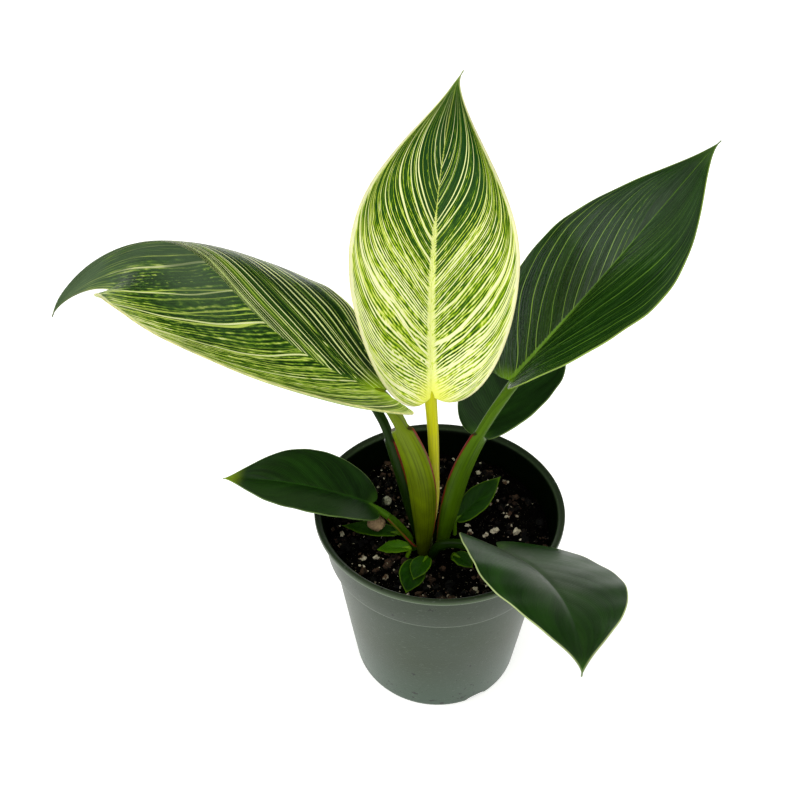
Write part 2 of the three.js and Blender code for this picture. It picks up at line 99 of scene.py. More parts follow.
# A blade's midrib starts at base, heads off from +X towards +Y, climbs by rise and has bent down by
# droop at the tip. swing and bend turn it sideways, roll and twist turn the blade about it. widest,
# base_share, base_power, tip_round and tip_power give the outline. fold lifts the halves like a V and
# curl bends them on towards the margin, from the base value to the tip value. veins says how far a side
# vein climbs at each share of the length: a share of the length for each half width that it crosses.
# vein_hook turns the veins up along the margin. What has a _right is the right half's, where it differs.
# rows and columns say how fine the blade's sheet is. BLADE_FORM holds what most blades share.
VEINS = [
    (0, 0.12), (0.1, 0.16), (0.17, 0.23), (0.25, 0.29), (0.32, 0.33), (0.5, 0.36), (0.6, 0.39),
    (0.7, 0.48), (0.78, 0.6), (0.85, 1.0), (0.92, 2.0), (1, 3),
]
BLADE_FORM = dict(
    droop_power=1, bend=0, swing=0, roll=0, twist=0, widest=0.38, base_power=2.1, tip_round=2,
    tip_power=1.5, lobe_power=1, curl=(0, 0), hook=0.3, vein_hook=5.3, rows=120, columns=96,
    veins=VEINS,
)
BLADES = {
    "newest": dict(
        base=(-3.6, -11.6, 157.9), length=120.7, width=63.1, heading=98, swing=-26, rise=65, droop=18,
        roll=-14, twist=11, widest=0.4, base_share=0.22, base_power=1.95, tip_round=2.02,
        tip_power=1.66, lobe=0.02, fold=(17, 1), curl=(6, 6), rib=2.2, hook=1.4, quilt=0.1, wave=0.35,
        rows=200, columns=144,
    ),
    "arching": dict(
        base=(-21.1, -20.4, 166.6), length=186.7, width=86.5, heading=196, swing=59, bend=-93,
        rise=29.5, droop=75, droop_power=1.5, roll=2, twist=-6, widest=0.41, base_share=0.23,
        base_power=1.95, tip_round=2.6, tip_power=1.64, lobe=0.045, fold=(1, -29), curl=(86, -32),
        fold_right=(10, -31), curl_right=(-17, -38), rib=2.2, hook=0, quilt=0.14, wave=0.3,
        veins=[(0, 0.34), (0.1, 0.3), (0.2, 0.2), (0.35, 0.12), (0.45, 0.14), (0.52, 0.22),
               (0.6, 0.55), (0.68, 1.2), (0.75, 1.4), (1, 1)],
        veins_right=[(0, 0.34), (0.1, 0.42), (0.17, 0.75), (0.25, 1.8), (0.32, 6), (0.55, 6), (0.7, 2),
                     (1, 1.5)],
        vein_hook=0.8, rows=240, columns=144,
    ),
    "right": dict(
        base=(27.2, 8.6, 151.8), length=117.5, width=65.5, heading=28, swing=2, rise=45, droop=0,
        roll=15, twist=-42, widest=0.37, base_share=0.26, tip_power=1.55, lobe=0.02, fold=(28, 2),
        curl=(-10, -10), rib=2, hook=0.6, quilt=0.2, wave=0.35,
        veins=[(0, 0.25), (0.1, 0.3), (0.2, 0.38), (0.3, 0.5), (0.4, 0.66), (0.5, 0.7), (0.7, 0.6),
               (0.85, 1.0), (1, 3)],
        veins_right=[(0, 0.3), (0.15, 0.6), (0.3, 1.1), (0.5, 1.2), (0.6, 0.8), (0.7, 0.75),
                     (0.85, 1.2), (1, 3)],
        vein_hook=4, rows=200, columns=144,
    ),
    "rear": dict(
        base=(18.5, 21, 113.6), length=74, width=47, heading=51, swing=31, rise=25, droop=13, roll=17,
        twist=-10, widest=0.37, base_share=0.21, base_power=2.05, tip_power=1.56, lobe=0.03,
        fold=(19, 5), rib=1.5, hook=0.4, quilt=0.12, wave=0.25,
    ),
    "left_low": dict(
        base=(-29.3, -2.5, 92.3), length=65.5, width=37.5, heading=188, swing=-10, rise=33, droop=39,
        roll=-2, twist=12, base_share=0.29, base_power=2.27, tip_round=2.22, tip_power=1.46, lobe=0.05,
        fold=(6, 9), curl=(12, 12), rib=1.2, hook=0, quilt=0.1, wave=0.2,
    ),
    "front_low": dict(
        base=(23.4, -32.5, 100.2), length=84, width=56, heading=-48, swing=-52, rise=25, droop=14,
        roll=36, twist=-48, base_share=0.29, tip_round=1.9, tip_power=1.67, lobe=0.1, lobe_power=1.5,
        fold=(12, 5), curl=(-7, -7), rib=1.6, quilt=0.07, wave=0.3, rows=150, columns=112,
    ),
    "hidden": dict(
        base=(-30, 6, 146), length=66, width=34, heading=165, swing=12, rise=20, droop=25, roll=-12,
        base_share=0.28, lobe=0.04, fold=(8, 0), rib=1.4, quilt=0.1, wave=0.2,
    ),
}
BLADES = {name: {**BLADE_FORM, **own} for name, own in BLADES.items()}

# A stalk's path runs from the crown on to its leaf's base. back is the way its rounded back faces.
# sheath is the flat winged part: its share of the path, and the reach of its left and right wing.
STALKS = {
    "newest": dict(
        path=[(-4, -12.2, 84.5), (-1.8, -11.6, 105), (-2.2, -11.4, 122), (-2.9, -11.4, 139)],
        radius=(1.7, 2.3), back=(0, 1, 0), slot="stalk_yellow",
    ),
    "arching": dict(
        path=[(-6.2, -16.4, 73), (-6, -16.5, 80), (-5.3, -17.3, 98), (-7, -18, 122),
              (-12, -18.8, 142)],
        radius=(1.7, 2.5), back=(-0.25, -1, 0), sheath=(0.82, 5, 7.4), slot="stalk_lime",
    ),
    "right": dict(
        path=[(1.3, -13, 73), (1.4, -12.9, 80), (3.4, -11, 96), (7.9, -6.4, 115), (15, -1, 131)],
        radius=(1.6, 2.1), back=(0.45, -1, -0.1), sheath=(0.72, 7.4, 3.8), slot="stalk_olive",
    ),
    "rear": dict(
        path=[(-1, -7.2, 73), (-0.6, -6.8, 80), (2.8, -2.4, 89), (8.5, 6, 100)],
        radius=(1.5, 1.7), back=(1, -0.6, 0), slot="stalk_dark",
    ),
    "left_low": dict(
        path=[(-10.4, -13.2, 73), (-10.6, -13, 79.8), (-16.5, -9.2, 85.6), (-22.4, -5.4, 89)],
        radius=(1.5, 1.4), back=(0, -0.4, -1), sheath=(0.7, 2.6, 2.6), slot="stalk_green",
    ),
    "front_low": dict(
        path=[(-2.1, -18.9, 73), (-2.1, -19.1, 80), (1, -21, 88.2), (9.2, -23, 91.8),
              (17.3, -27.5, 93.6)],
        radius=(1.7, 1.9), back=(0, -0.3, -1), slot="stalk_dark",
    ),
    "hidden": dict(
        path=[(-8.2, -8.2, 73), (-8.6, -8, 80), (-11.6, -6.8, 94), (-17.3, -3.4, 117),
              (-23.6, 0.6, 137)],
        radius=(1.5, 1.9), back=(-0.7, -0.7, 0), sheath=(0.74, 2.6, 6), slot="stalk_dark",
    ),
}

# The small leaves round the crown share one outline. root is where the short stalk stands.
BASAL_FORM = dict(
    widest=0.45, base_share=0.2, base_power=1.9, tip_power=1.2, lobe=0, fold=(12, 4), rib=0.5, hook=0,
    quilt=0.05, wave=0.15, rows=60, columns=56,
)
BASAL = {
    "left_long": dict(root=(-14.5, -7.5), base=(-17.5, -8, 80.7), length=25, width=8.5,
                      heading=172, rise=1, droop=3, roll=0),
    "left": dict(root=(-12.8, -19.8), base=(-11.8, -18.6, 83), length=14, width=8.5,
                 heading=182, rise=10, droop=30, roll=-8),
    "front": dict(root=(-8.2, -24), base=(-8.4, -25, 82.2), length=16, width=11,
                  heading=256, rise=5, droop=25, roll=10),
    "front_upper": dict(root=(-4.2, -24.6), base=(-4.4, -25.4, 85.2), length=12, width=9,
                        heading=244, rise=10, droop=40, roll=-10),
    "front_right": dict(root=(6.6, -18.6), base=(7.2, -20, 81.6), length=10, width=8,
                        heading=-40, rise=12, droop=30, roll=0),
    "right": dict(root=(7.4, -5.1), base=(7.6, -3.4, 85.5), length=27, width=12,
                  heading=32, rise=30, droop=-10, roll=-12),
}
BASAL = {name: {**BLADE_FORM, **BASAL_FORM, **own} for name, own in BASAL.items()}
BASAL_STALK_RADIUS = 0.9
VEIN_RIDGES = 10.8
MIDRIB_STEPS = 200
CURVE_STEPS = 40

# The bigger pale grains on the soil: x, y, radius.
BIG_GRAINS = [
    (13, 0, 1.1), (14, -4, 1.2), (21, -5, 1.4), (25, -2, 1.5), (34, -2, 2), (32, 2, 1.1),
    (31, 29, 1.6), (-42, -8, 1.3), (-42, -14, 1.2), (-32, -21, 1.5), (-26, -21, 1.3),
    (-20, -24, 1.2), (-21, -31, 1.3), (16, -36, 1.5),
]
CROWN = (-4.2, -12.6)
ROOT_DEPTH = 4.6
SOIL_RINGS = 64
SCATTER_RADIUS = 47.5
SCATTER_SEED = 5
GRAIN_SEED = 11
GRAIN_REACH, GRAIN_SIZE, LEAF_CLEARANCE = (14, 43), (0.8, 1.3), 18

# The camera: its place in metres, its angles in degrees, its sensor in millimetres, and its focal
# length and its picture's width in pixels.
CAMERA_PLACE = (0, -0.251, 0.337)
PITCH, YAW, TILT = 36.8, -4.0, -0.8
SENSOR_WIDTH, FOCAL_PIXELS, PICTURE_PIXELS = 36, 800, 794
FLOOR_GAP = 0.0002


# ---- settings a user would change -----------------------------------------------------------

def tone(red, green, blue):
    """A linear colour from 0 to 255 display values."""
    return [((c / 255 + 0.055) / 1.055) ** 2.4 if c > 10 else c / 255 / 12.92 for c in (red, green, blue)]


def size(name, description, default, unit="LENGTH"):
    return bpy.props.FloatProperty(name=name, description=description, default=default, unit=unit, min=0)


def amount(name, description, default):
    return bpy.props.FloatProperty(name=name, description=description, default=default, min=0)


def number(name, description, default):
    return bpy.props.IntProperty(name=name, description=description, default=default, min=0)


def shade(name, description, *display):
    return bpy.props.FloatVectorProperty(
        name=name, description=description, default=tone(*display), size=3, subtype="COLOR", min=0, max=1)


class PlantSizes(bpy.types.PropertyGroup):
    blade_thickness: size("Blade thickness", "Thickness of a leaf blade", 0.55 * MM)
    margin_radius: size("Margin radius", "How rounded a blade's margin is", 0.35 * MM)
    midrib_groove: size("Midrib groove", "Depth of the channel over the midrib", 0.45 * MM)
    soil_level: size("Soil level", "Height of the soil above the floor", 78 * MM)
    soil_relief: size("Soil relief", "Height of the crumbs in the soil's surface", 0.9 * MM)
    pot_wall: size("Pot wall", "Thickness of the pot's wall", 1.4 * MM)
    crumbs: number("Soil crumbs", "Number of loose dark crumbs on the soil", 900)
    specks: number("Perlite specks", "Number of small pale grains on the soil", 420)


class PlantColours(bpy.types.PropertyGroup):
    deep_green: shade("Deep green", "Oldest blades and the ground of the stripes", 16, 42, 6)
    leaf_green: shade("Leaf green", "Fresh green between the stripes", 40, 84, 14)
    cream: shade("Cream", "The stripes and margins", 254, 254, 198)
    stalk_yellow: shade("Yellow stalk", "Stalk of the newest leaf", 204, 206, 6)
    stalk_green: shade("Green stalk", "Stalks of the older leaves", 54, 88, 0)
    red_margin: shade("Red margin", "Margins of the leaf sheaths", 122, 36, 28)
    pot_green: shade("Pot green", "The pot's plastic", 62, 80, 50)
    soil_brown: shade("Soil", "Damp potting mix", 5, 4, 3)
    perlite: shade("Perlite", "Pale grains in the soil", 206, 198, 170)
    bark: shade("Bark", "The chip on the soil", 158, 132, 98)


class StageSettings(bpy.types.PropertyGroup):
    floor_size: size("Floor size", "Edge of the square floor", 14)
    sun_strength: amount("Key light", "Strength of the wide soft key light", 1.0)
    softbox_power: size("Softbox", "Power of the softbox up on the left", 2.4, "POWER")
    sky_strength: amount("Surround", "Strength of the pale surround", 0.78)
    floor_glow: amount("Floor glow", "Light that the bright floor gives back", 0.55)


# ---- mesh helpers ---------------------------------------------------------------------------

def mix(a, b, share):
    return a + (b - a) * share


def unit(vectors):
    return vectors / np.linalg.norm(vectors, axis=1)[:, None]


def rounded(x):
    """How high a round edge has risen at share x of its radius."""
    return np.sqrt(1 - (1 - np.clip(x, 0, 1)) ** 2)


def there_and_back(v):
    """0 to 1 and back to 0 as v goes from 0 to 1, and whether it is on its way back, underneath."""
    under = v > 0.5
    return np.where(under, 2 - 2 * v, 2 * v), under


def smooth_step(low, high, x):
    t = np.clip((x - low) / (high - low), 0, 1)
    return t * t * (3 - 2 * t)


def clear_selection():
    if bpy.context.object and bpy.context.object.mode != "OBJECT":
        bpy.ops.object.mode_set(mode="OBJECT")
    bpy.ops.object.select_all(action="DESELECT")


def only(piece):
    """Makes piece the one selected and active object."""
    clear_selection()
    piece.select_set(True)
    bpy.context.view_layer.objects.active = piece


def named(name):
    """The active object under its new name."""
    piece = bpy.context.active_object
    piece.name = name
    piece.data.name = name
    return piece


def read_points(piece):
    points = np.empty(len(piece.data.vertices) * 3)
    piece.data.vertices.foreach_get("co", points)
    return points.reshape(-1, 3)


def write_points(piece, points):
    piece.data.vertices.foreach_set("co", points.astype(np.float32).ravel())
    piece.data.update()


def edit(piece, *steps):
    """Runs the steps, each a mesh operator and its settings, on the whole of piece."""
    only(piece)
    bpy.ops.object.mode_set(mode="EDIT")
    for operator, settings in steps:
        bpy.ops.mesh.select_all(action="SELECT")
        operator(**settings)
    bpy.ops.object.mode_set(mode="OBJECT")


def shaped_sheet(name, rows, columns, place):
    """A grid whose corner at u along and v across, both 0 to 1, is carried to place(u, v). place also
    says what the finish needs to know there, as named values. The sheet meets itself and is sewn up:
    what lies together is merged, what is open is closed, and the faces are turned outwards."""
    clear_selection()
    bpy.ops.mesh.primitive_grid_add(x_subdivisions=rows, y_subdivisions=columns, size=2)
    piece = named(name)
    u, v = (read_points(piece)[:, :2].T + 1) / 2
    points, notes = place(u, v)
    write_points(piece, points * MM)
    for key, values in notes.items():
        kind, field = ("FLOAT_VECTOR", "vector") if values.ndim == 2 else ("FLOAT", "value")
        layer = piece.data.attributes.new(key, kind, "POINT")
        layer.data.foreach_set(field, values.astype(np.float32).ravel())
    edit(piece,
         (bpy.ops.mesh.remove_doubles, {"threshold": SEWN_WITHIN}),
         (bpy.ops.mesh.fill_holes, {"sides": 0}),
         (bpy.ops.mesh.normals_make_consistent, {"inside": False}))
    return piece


def soften(piece, degrees):
    """Shades piece smooth, apart from its edges that are sharper than degrees."""
    only(piece)
    bpy.ops.object.shade_smooth_by_angle(angle=math.radians(degrees))


def turned(name, rings, sides):
    """A closed turned shape: a disc extruded and resized from ring to ring. A ring is radius, height."""
    clear_selection()
    radius, height = rings[0]
    bpy.ops.mesh.primitive_circle_add(
        vertices=sides, radius=radius * MM, fill_type="NGON", location=(0, 0, height * MM))
    piece = named(name)
    bpy.ops.object.transform_apply(location=True, rotation=True, scale=True)
    bpy.ops.object.mode_set(mode="EDIT")
    bpy.ops.mesh.select_all(action="SELECT")
    for (radius, height), (next_radius, next_height) in zip(rings, rings[1:]):
        climb = (0, 0, (next_height - height) * MM)
        bpy.ops.mesh.extrude_region_move(TRANSFORM_OT_translate={"value": climb})
        wider = next_radius / radius
        bpy.ops.transform.resize(value=(wider, wider, 1), center_override=(0, 0, next_height * MM))
    edit(piece, (bpy.ops.mesh.normals_make_consistent, {"inside": False}))
    return piece


def finish_piece(piece, material, slot, *nodes):
    """Gives piece its material, hangs it on the plant's body and hides the frame's nodes that it replaces.
    """
    piece.data.materials.clear()
    piece.data.materials.append(material)
    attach(piece, BODY)
    if nodes:
        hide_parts(*nodes)


# ---- leaf blades ----------------------------------------------------------------------------

def half_width(leaf, s):
    """Half the blade's width at share s of its length."""
    half = leaf["width"] / 2
    y = np.clip((leaf["widest"] - s) / leaf["widest"], 0, 1)
    x = np.clip((s - leaf["widest"]) / (1 - leaf["widest"]), 0, 1)
    lower = leaf["base_share"] + (1 - leaf["base_share"]) * np.sqrt(1 - y ** leaf["base_power"])
    upper = (1 - x ** leaf["tip_round"]) ** leaf["tip_power"]
    return np.maximum(half * np.where(s < leaf["widest"], lower, upper), 0.25)


def midrib(leaf):
    """The midrib's points and its along, side and up directions, at even shares s of its length."""
    s = np.linspace(0, 1, MIDRIB_STEPS + 1)
    climb = np.radians(leaf["rise"] - leaf["droop"] * s ** leaf["droop_power"])
    bend = leaf["bend"] * np.sin(np.pi * s)
    turn = np.radians(leaf["heading"] + leaf["swing"] * s + bend)
    along = np.stack([np.cos(climb) * np.cos(turn), np.cos(climb) * np.sin(turn), np.sin(climb)], 1)
    level = np.stack([np.sin(turn), -np.cos(turn), np.zeros_like(s)], 1)
    lift = np.cross(level, along)
    roll = np.radians(leaf["roll"] + leaf["twist"] * s)[:, None]
    side = level * np.cos(roll) + lift * np.sin(roll)
    up = lift * np.cos(roll) - level * np.sin(roll)
    steps = np.cumsum(along[:-1], 0) * leaf["length"] / MIDRIB_STEPS
    points = np.concatenate([[leaf["base"]], np.array(leaf["base"]) + steps])
    return dict(s=s, point=points, along=along, side=side, up=up)


def at(line, key, s):
    """The line's vector key at the shares s."""
    return np.stack([np.interp(s, line["s"], line[key][:, i]) for i in range(3)], 1)


def blade_point(leaf, rib, s, w):
    """The blade's middle surface at share s along it and share w across it, -1 to 1."""
    half = leaf["width"] / 2
    reach = half_width(leaf, s) * np.abs(w)
    fold = np.radians(mix(*leaf["fold"], s))
    curl = np.radians(mix(*leaf["curl"], s))
    if "fold_right" in leaf:
        fold = np.where(w > 0, np.radians(mix(*leaf["fold_right"], s)), fold)
        curl = np.where(w > 0, np.radians(mix(*leaf["curl_right"], s)), curl)
    bend = curl / half
    bend = np.where(np.abs(bend) < 1e-6, 1e-6, bend)
    across = (np.sin(fold + bend * reach) - np.sin(fold)) / bend * np.sign(w)
    lift = (np.cos(fold) - np.cos(fold + bend * reach)) / bend
    lobe = np.sin(np.pi / 2 * np.abs(w)) ** leaf["lobe_power"]
    back = leaf["lobe"] * leaf["length"] * lobe * (1 - s) ** 3
    hook = leaf["hook"] * np.clip((s - 0.94) / 0.06, 0, 1) ** 2
    return (at(rib, "point", s) + at(rib, "side", s) * (across + hook)[:, None]
            + at(rib, "up", s) * lift[:, None] - at(rib, "along", s) * back[:, None])


def blade_normal(leaf, rib, s, w):
    """The direction out of the blade's upper face."""
    s0, s1 = np.maximum(s - 0.01, 0), np.minimum(s + 0.01, 1)
    w0, w1 = np.maximum(w - 0.05, -1), np.minimum(w + 0.05, 1)
    ahead = blade_point(leaf, rib, s1, w) - blade_point(leaf, rib, s0, w)
    right = blade_point(leaf, rib, s, w1) - blade_point(leaf, rib, s, w0)
    return unit(np.cross(right, ahead))


def vein_share(leaf, s, w):
    """Where along the midrib the side vein through s, w starts."""
    crossed = np.abs(w) + leaf["vein_hook"] * np.abs(w) ** 9 / 9
    grid = np.linspace(-1.2, 1.2, 961)
    starts = []
    for key in ("veins", "veins_right"):
        climb = leaf.get(key, leaf["veins"])
        pace = 1 / np.interp(grid, *zip(*climb))
        walked = np.concatenate([[0], np.cumsum((pace[1:] + pace[:-1]) / 2 * np.diff(grid))])
        starts.append(np.interp(np.interp(s, grid, walked) - crossed, walked, grid))
    return np.where(w > 0, starts[1], starts[0])


def blade_place(leaf, sizes):
    """Where a sheet rolled flat round the blade goes: over the upper face and back under the lower."""
    rib = midrib(leaf)
    half_thick = sizes.blade_thickness / MM / 2
    radius = sizes.margin_radius / MM
    groove = sizes.midrib_groove / MM

    def place(u, v):
        s = mix(u, 0.5 - 0.5 * np.cos(np.pi * u), 0.8)
        turn, under = there_and_back(v)
        turn = turn * 2 - 1
        w = np.sign(turn) * (1 - (1 - np.abs(turn) ** 1.5) ** 1.6)
        reach = half_width(leaf, s)
        q = vein_share(leaf, s, w)
        x = w * reach
        inset = np.minimum((1 - np.abs(w)) * reach, np.minimum(s, 1 - s) * leaf["length"])
        edge = rounded(inset / radius)
        vein = (0.5 + 0.5 * np.cos(2 * np.pi * VEIN_RIDGES * q)) ** 5 * (1 - 0.7 * w ** 2) * (1 - s ** 4)
        relief = -leaf["quilt"] * vein * np.clip(np.abs(x) / 2, 0, 1)
        relief -= groove * np.exp(-(x / 1.1) ** 2) * (1 - s) ** 0.7
        phase = np.where(w > 0, 1.3, 4.1)
        waves = np.sin(2 * np.pi * 3.1 * s + phase) + 0.5 * np.sin(2 * np.pi * 7.7 * s + 2 * phase)
        relief += leaf["wave"] * w ** 2 * waves * np.sin(np.pi * s)
        ridge_half = mix(2.0, 0.7, s)
        ridge = leaf["rib"] * (1 - s) ** 0.8 * np.exp(-(x / ridge_half) ** 2)
        height = np.where(under, -half_thick * edge - ridge * edge, half_thick * edge) + relief
        points = blade_point(leaf, rib, s, w) + blade_normal(leaf, rib, s, w) * height[:, None]
        return points, {"blade_map": np.stack([s, w, q], 1), "from_midrib": x, "under": under.astype(float)}

    return place


# ---- stalks ---------------------------------------------------------------------------------

def smooth_path(path):
    """A centripetal Catmull-Rom curve through path: even shares, points and directions."""
    path = np.array(path, float)
    knots = np.concatenate([[2 * path[0] - path[1]], path, [2 * path[-1] - path[-2]]])
    points = []
    for p0, p1, p2, p3 in zip(knots, knots[1:], knots[2:], knots[3:]):
        d0, d1, d2 = (np.linalg.norm(b - a) ** 0.5 for a, b in ((p0, p1), (p1, p2), (p2, p3)))
        m1 = ((p1 - p0) / d0 - (p2 - p0) / (d0 + d1) + (p2 - p1) / d1) * d1
        m2 = ((p2 - p1) / d1 - (p3 - p1) / (d1 + d2) + (p3 - p2) / d2) * d1
        t = np.linspace(0, 1, CURVE_STEPS, endpoint=False)[:, None]
        points.append(p1 + m1 * t + (3 * p2 - 3 * p1 - 2 * m1 - m2) * t ** 2
                      + (2 * p1 - 2 * p2 + m1 + m2) * t ** 3)
    points = np.concatenate(points + [path[-1:]])
    walked = np.concatenate([[0], np.cumsum(np.linalg.norm(np.diff(points, axis=0), axis=1))])
    along = unit(np.gradient(points, walked, axis=0))
    return dict(s=walked / walked[-1], point=points, along=along, length=walked[-1])


def wing_share(u):
    """How far a sheath's wings have opened at share u of the sheath; they end in a free corner."""
    opened = np.where(
        u < 0.62,
        np.sin(np.pi / 2 * np.clip(u / 0.62, 0, 1)) ** 1.2,
        1 - 0.45 * np.clip((u - 0.62) / 0.38, 0, 1) ** 2,
    )
    return opened * (1 - smooth_step(0.97, 1.0, u))


def stalk_place(stalk, leaf):
    """Where a sheet rolled round the stalk goes. The stalk runs on under the blade as its midrib."""
    rib = midrib(leaf)
    along0, up0 = rib["along"][0], rib["up"][0]
    base = np.array(leaf["base"])
    top_radius = stalk["radius"][1]
    path = [*stalk["path"], base - up0 * 0.75 * top_radius,
            base + along0 * 8 - up0 * (0.3 * top_radius + 1.5)]
    curve = smooth_path(path)
    base_share = smooth_path(path[:-1])["length"] / curve["length"]
    share, left_reach, right_reach = stalk.get("sheath", (1, 0, 0))
    rim = 0.3

    def place(u, v):
        point = at(curve, "point", u)
        along = at(curve, "along", u)
        t = u / base_share
        turning = smooth_step(0.8, 1.02, t)[:, None]
        back = np.array(stalk["back"]) * (1 - turning) - up0 * turning
        back = unit(back - along * np.sum(back * along, 1)[:, None])
        side = np.cross(back, along)
        radius = mix(*stalk["radius"], np.minimum(t, 1)) * (1 - 0.7 * smooth_step(0.99, 1.07, t))
        opened = wing_share(t / share) if "sheath" in stalk else np.zeros_like(t)
        left = mix(radius, left_reach, opened)
        right = mix(radius, right_reach, opened)
        groove = mix(radius * 0.8, -radius * 0.1, opened)
        turn, under = there_and_back(v)
        angle = np.pi * turn
        reach = np.cos(angle) * np.where(angle < np.pi / 2, right, left)
        bulge = np.sin(angle)
        edge = rounded(bulge / 0.3)
        hang = 0.1 * opened * np.abs(reach) ** 1.6
        height = np.where(under, -groove * bulge - rim * edge, radius * bulge + rim * edge) - hang
        points = point + side * reach[:, None] + back * height[:, None]
        return points, {"stalk_map": np.stack([t, np.cos(angle), opened], 1), "under": under.astype(float)}

    return place


def basal_stalk_place(leaf, soil_level):
    """The short round stalk of a basal leaf, from the soil into the blade's midrib."""
    rib = midrib(leaf)
    base = np.array(leaf["base"])
    root = np.array([*leaf["root"], soil_level])
    path = [root - (0, 0, ROOT_DEPTH), root + (0, 0, 0.8), base, base + rib["along"][0] * 3]
    curve = smooth_path(path)

    def place(u, v):
        along = at(curve, "along", u)
        side = unit(np.cross(along, (0.1, 0.2, 1.0)))
        up = np.cross(side, along)
        angle = 2 * np.pi * v
        radius = BASAL_STALK_RADIUS * (1 - 0.6 * smooth_step(0.75, 1, u))
        ring = side * np.cos(angle)[:, None] + up * np.sin(angle)[:, None]
        points = at(curve, "point", u) + ring * radius[:, None]
        return points, {"blade_map": np.zeros((len(u), 3)), "from_midrib": 0 * u, "under": 0 * u}

    return place


# ---- pot and soil ---------------------------------------------------------------------------

def wall_radius(z):
    """The outside of the pot's wall, in millimetres."""
    return mix(FOOT, THROAT, z / NECK) + (COLLAR_STEP if z > COLLAR else 0)


def soil_height(x, y, level):
    """The soil's gentle swells, in millimetres."""
    swell = math.sin(0.13 * x + 1.1) * math.cos(0.11 * y - 0.4)
    lumps = math.sin(0.47 * x - 0.33 * y) + math.cos(0.39 * x + 0.52 * y + 2)
    return level + 0.5 * (0.9 * swell + 0.45 * lumps)


def seeded(seed):
    """The small random source that also places the grains of the packed soil."""
    state = seed
    while True:
        state = state * 16807 % 2147483647
        yield state / 2147483647


def packed_grains():
    """The grains of the packed soil, where they lie there: x, y, radius."""
    draw = seeded(GRAIN_SEED)
    grains = []

    def keep(grain):
        """Keeps a grain, and passes over the four draws that shape it in the packed soil."""
        grains.append(grain)
        for _ in range(4):
            next(draw)

    for grain in BIG_GRAINS:
        keep(grain)
    for _ in range(16):
        turn = next(draw) * 2 * math.pi
        reach = mix(*GRAIN_REACH, math.sqrt(next(draw)))
        radius = mix(*GRAIN_SIZE, next(draw))
        x, y = CROWN[0] + reach * math.cos(turn), reach * math.sin(turn)
        near = min(math.hypot(x - leaf["base"][0], y - leaf["base"][1]) for leaf in BASAL.values())
        if near > LEAF_CLEARANCE and math.hypot(x, y) < GRAIN_REACH[1]:
            keep((x, y, radius))
    return grains


def lump(subdivisions):
    """The corners and faces of one ball, from which crumbs and grains are copied."""
    clear_selection()
    bpy.ops.mesh.primitive_ico_sphere_add(subdivisions=subdivisions, radius=1)
    ball = bpy.context.active_object
    corners = read_points(ball)
    faces = np.array([list(face.vertices) for face in ball.data.polygons])
    bpy.data.objects.remove(ball)
    return corners, faces


def scattered(name, lumps, level, subdivisions, roughness, seed):
    """Many angular lumps in one mesh. Each is x, y, radius, and sits a little into the soil."""
    corners, faces = lump(subdivisions)
    rng = np.random.default_rng(seed)
    points, skin = [], []
    for count, (x, y, radius) in enumerate(lumps):
        origin = rng.uniform(-50, 50, 3)
        bumps = np.array([1 + roughness * noise.noise(Vector(corner * 1.4 + origin)) for corner in corners])
        turn = Matrix.Rotation(rng.uniform(0, 2 * math.pi), 3, "Z") @ Matrix.Rotation(
            rng.uniform(-0.7, 0.7), 3, "X")
        flat = np.array([1, rng.uniform(0.6, 1), rng.uniform(0.5, 0.85)])
        shape = (corners * bumps[:, None] * flat * radius) @ np.array(turn).T
        points.append(shape + (x, y, soil_height(x, y, level) + radius * rng.uniform(0.05, 0.35)))
        skin.append(faces + count * len(corners))
    mesh = bpy.data.meshes.new(name)
    mesh.from_pydata((np.concatenate(points) * MM).tolist(), [], np.concatenate(skin).tolist())
    piece = bpy.data.objects.new(name, mesh)
    bpy.context.scene.collection.objects.link(piece)
    return piece


# ---- materials ------------------------------------------------------------------------------

class Value:
    """What a node gives. Sums with it make the nodes that work them out."""

    def __init__(self, make, socket):
        self.make = make
        self.socket = socket

    def __add__(self, other):
        return self.make.math("ADD", self, other)

    def __sub__(self, other):
        return self.make.math("SUBTRACT", self, other)

    def __rsub__(self, other):
        return self.make.math("SUBTRACT", other, self)

    def __mul__(self, other):
        return self.make.math("MULTIPLY", self, other)

    def __truediv__(self, other):
        return self.make.math("DIVIDE", self, other)

    def __abs__(self):
        return self.make.math("ABSOLUTE", self)

    def step(self, low, high, to_low=0.0, to_high=1.0):
        """A soft step from to_low to to_high as the value goes from low to high."""
        return self.make.value("ShaderNodeMapRange", 0, {"interpolation_type": "SMOOTHSTEP"}, Value=self,
                               From_Min=low, From_Max=high, To_Min=to_low, To_Max=to_high)

    def ramp(self, *stops):
        """A colour that changes along the value. A stop is a value, 0 to 1, and its colour."""
        made = self.make.node("ShaderNodeValToRGB", Fac=self)
        elements = made.color_ramp.elements
        while len(elements) < len(stops):
            elements.new(0.5)
        for element, (position, colour) in zip(elements, stops):
            element.position = position
            element.color = (*list(colour)[:3], 1)
        return Value(self.make, made.outputs["Color"])

    def curve(self, points):
        """A number that changes along the value. A point is a value and its number, both 0 to 1."""
        return self.ramp(*((x, (y, y, y)) for x, y in points))


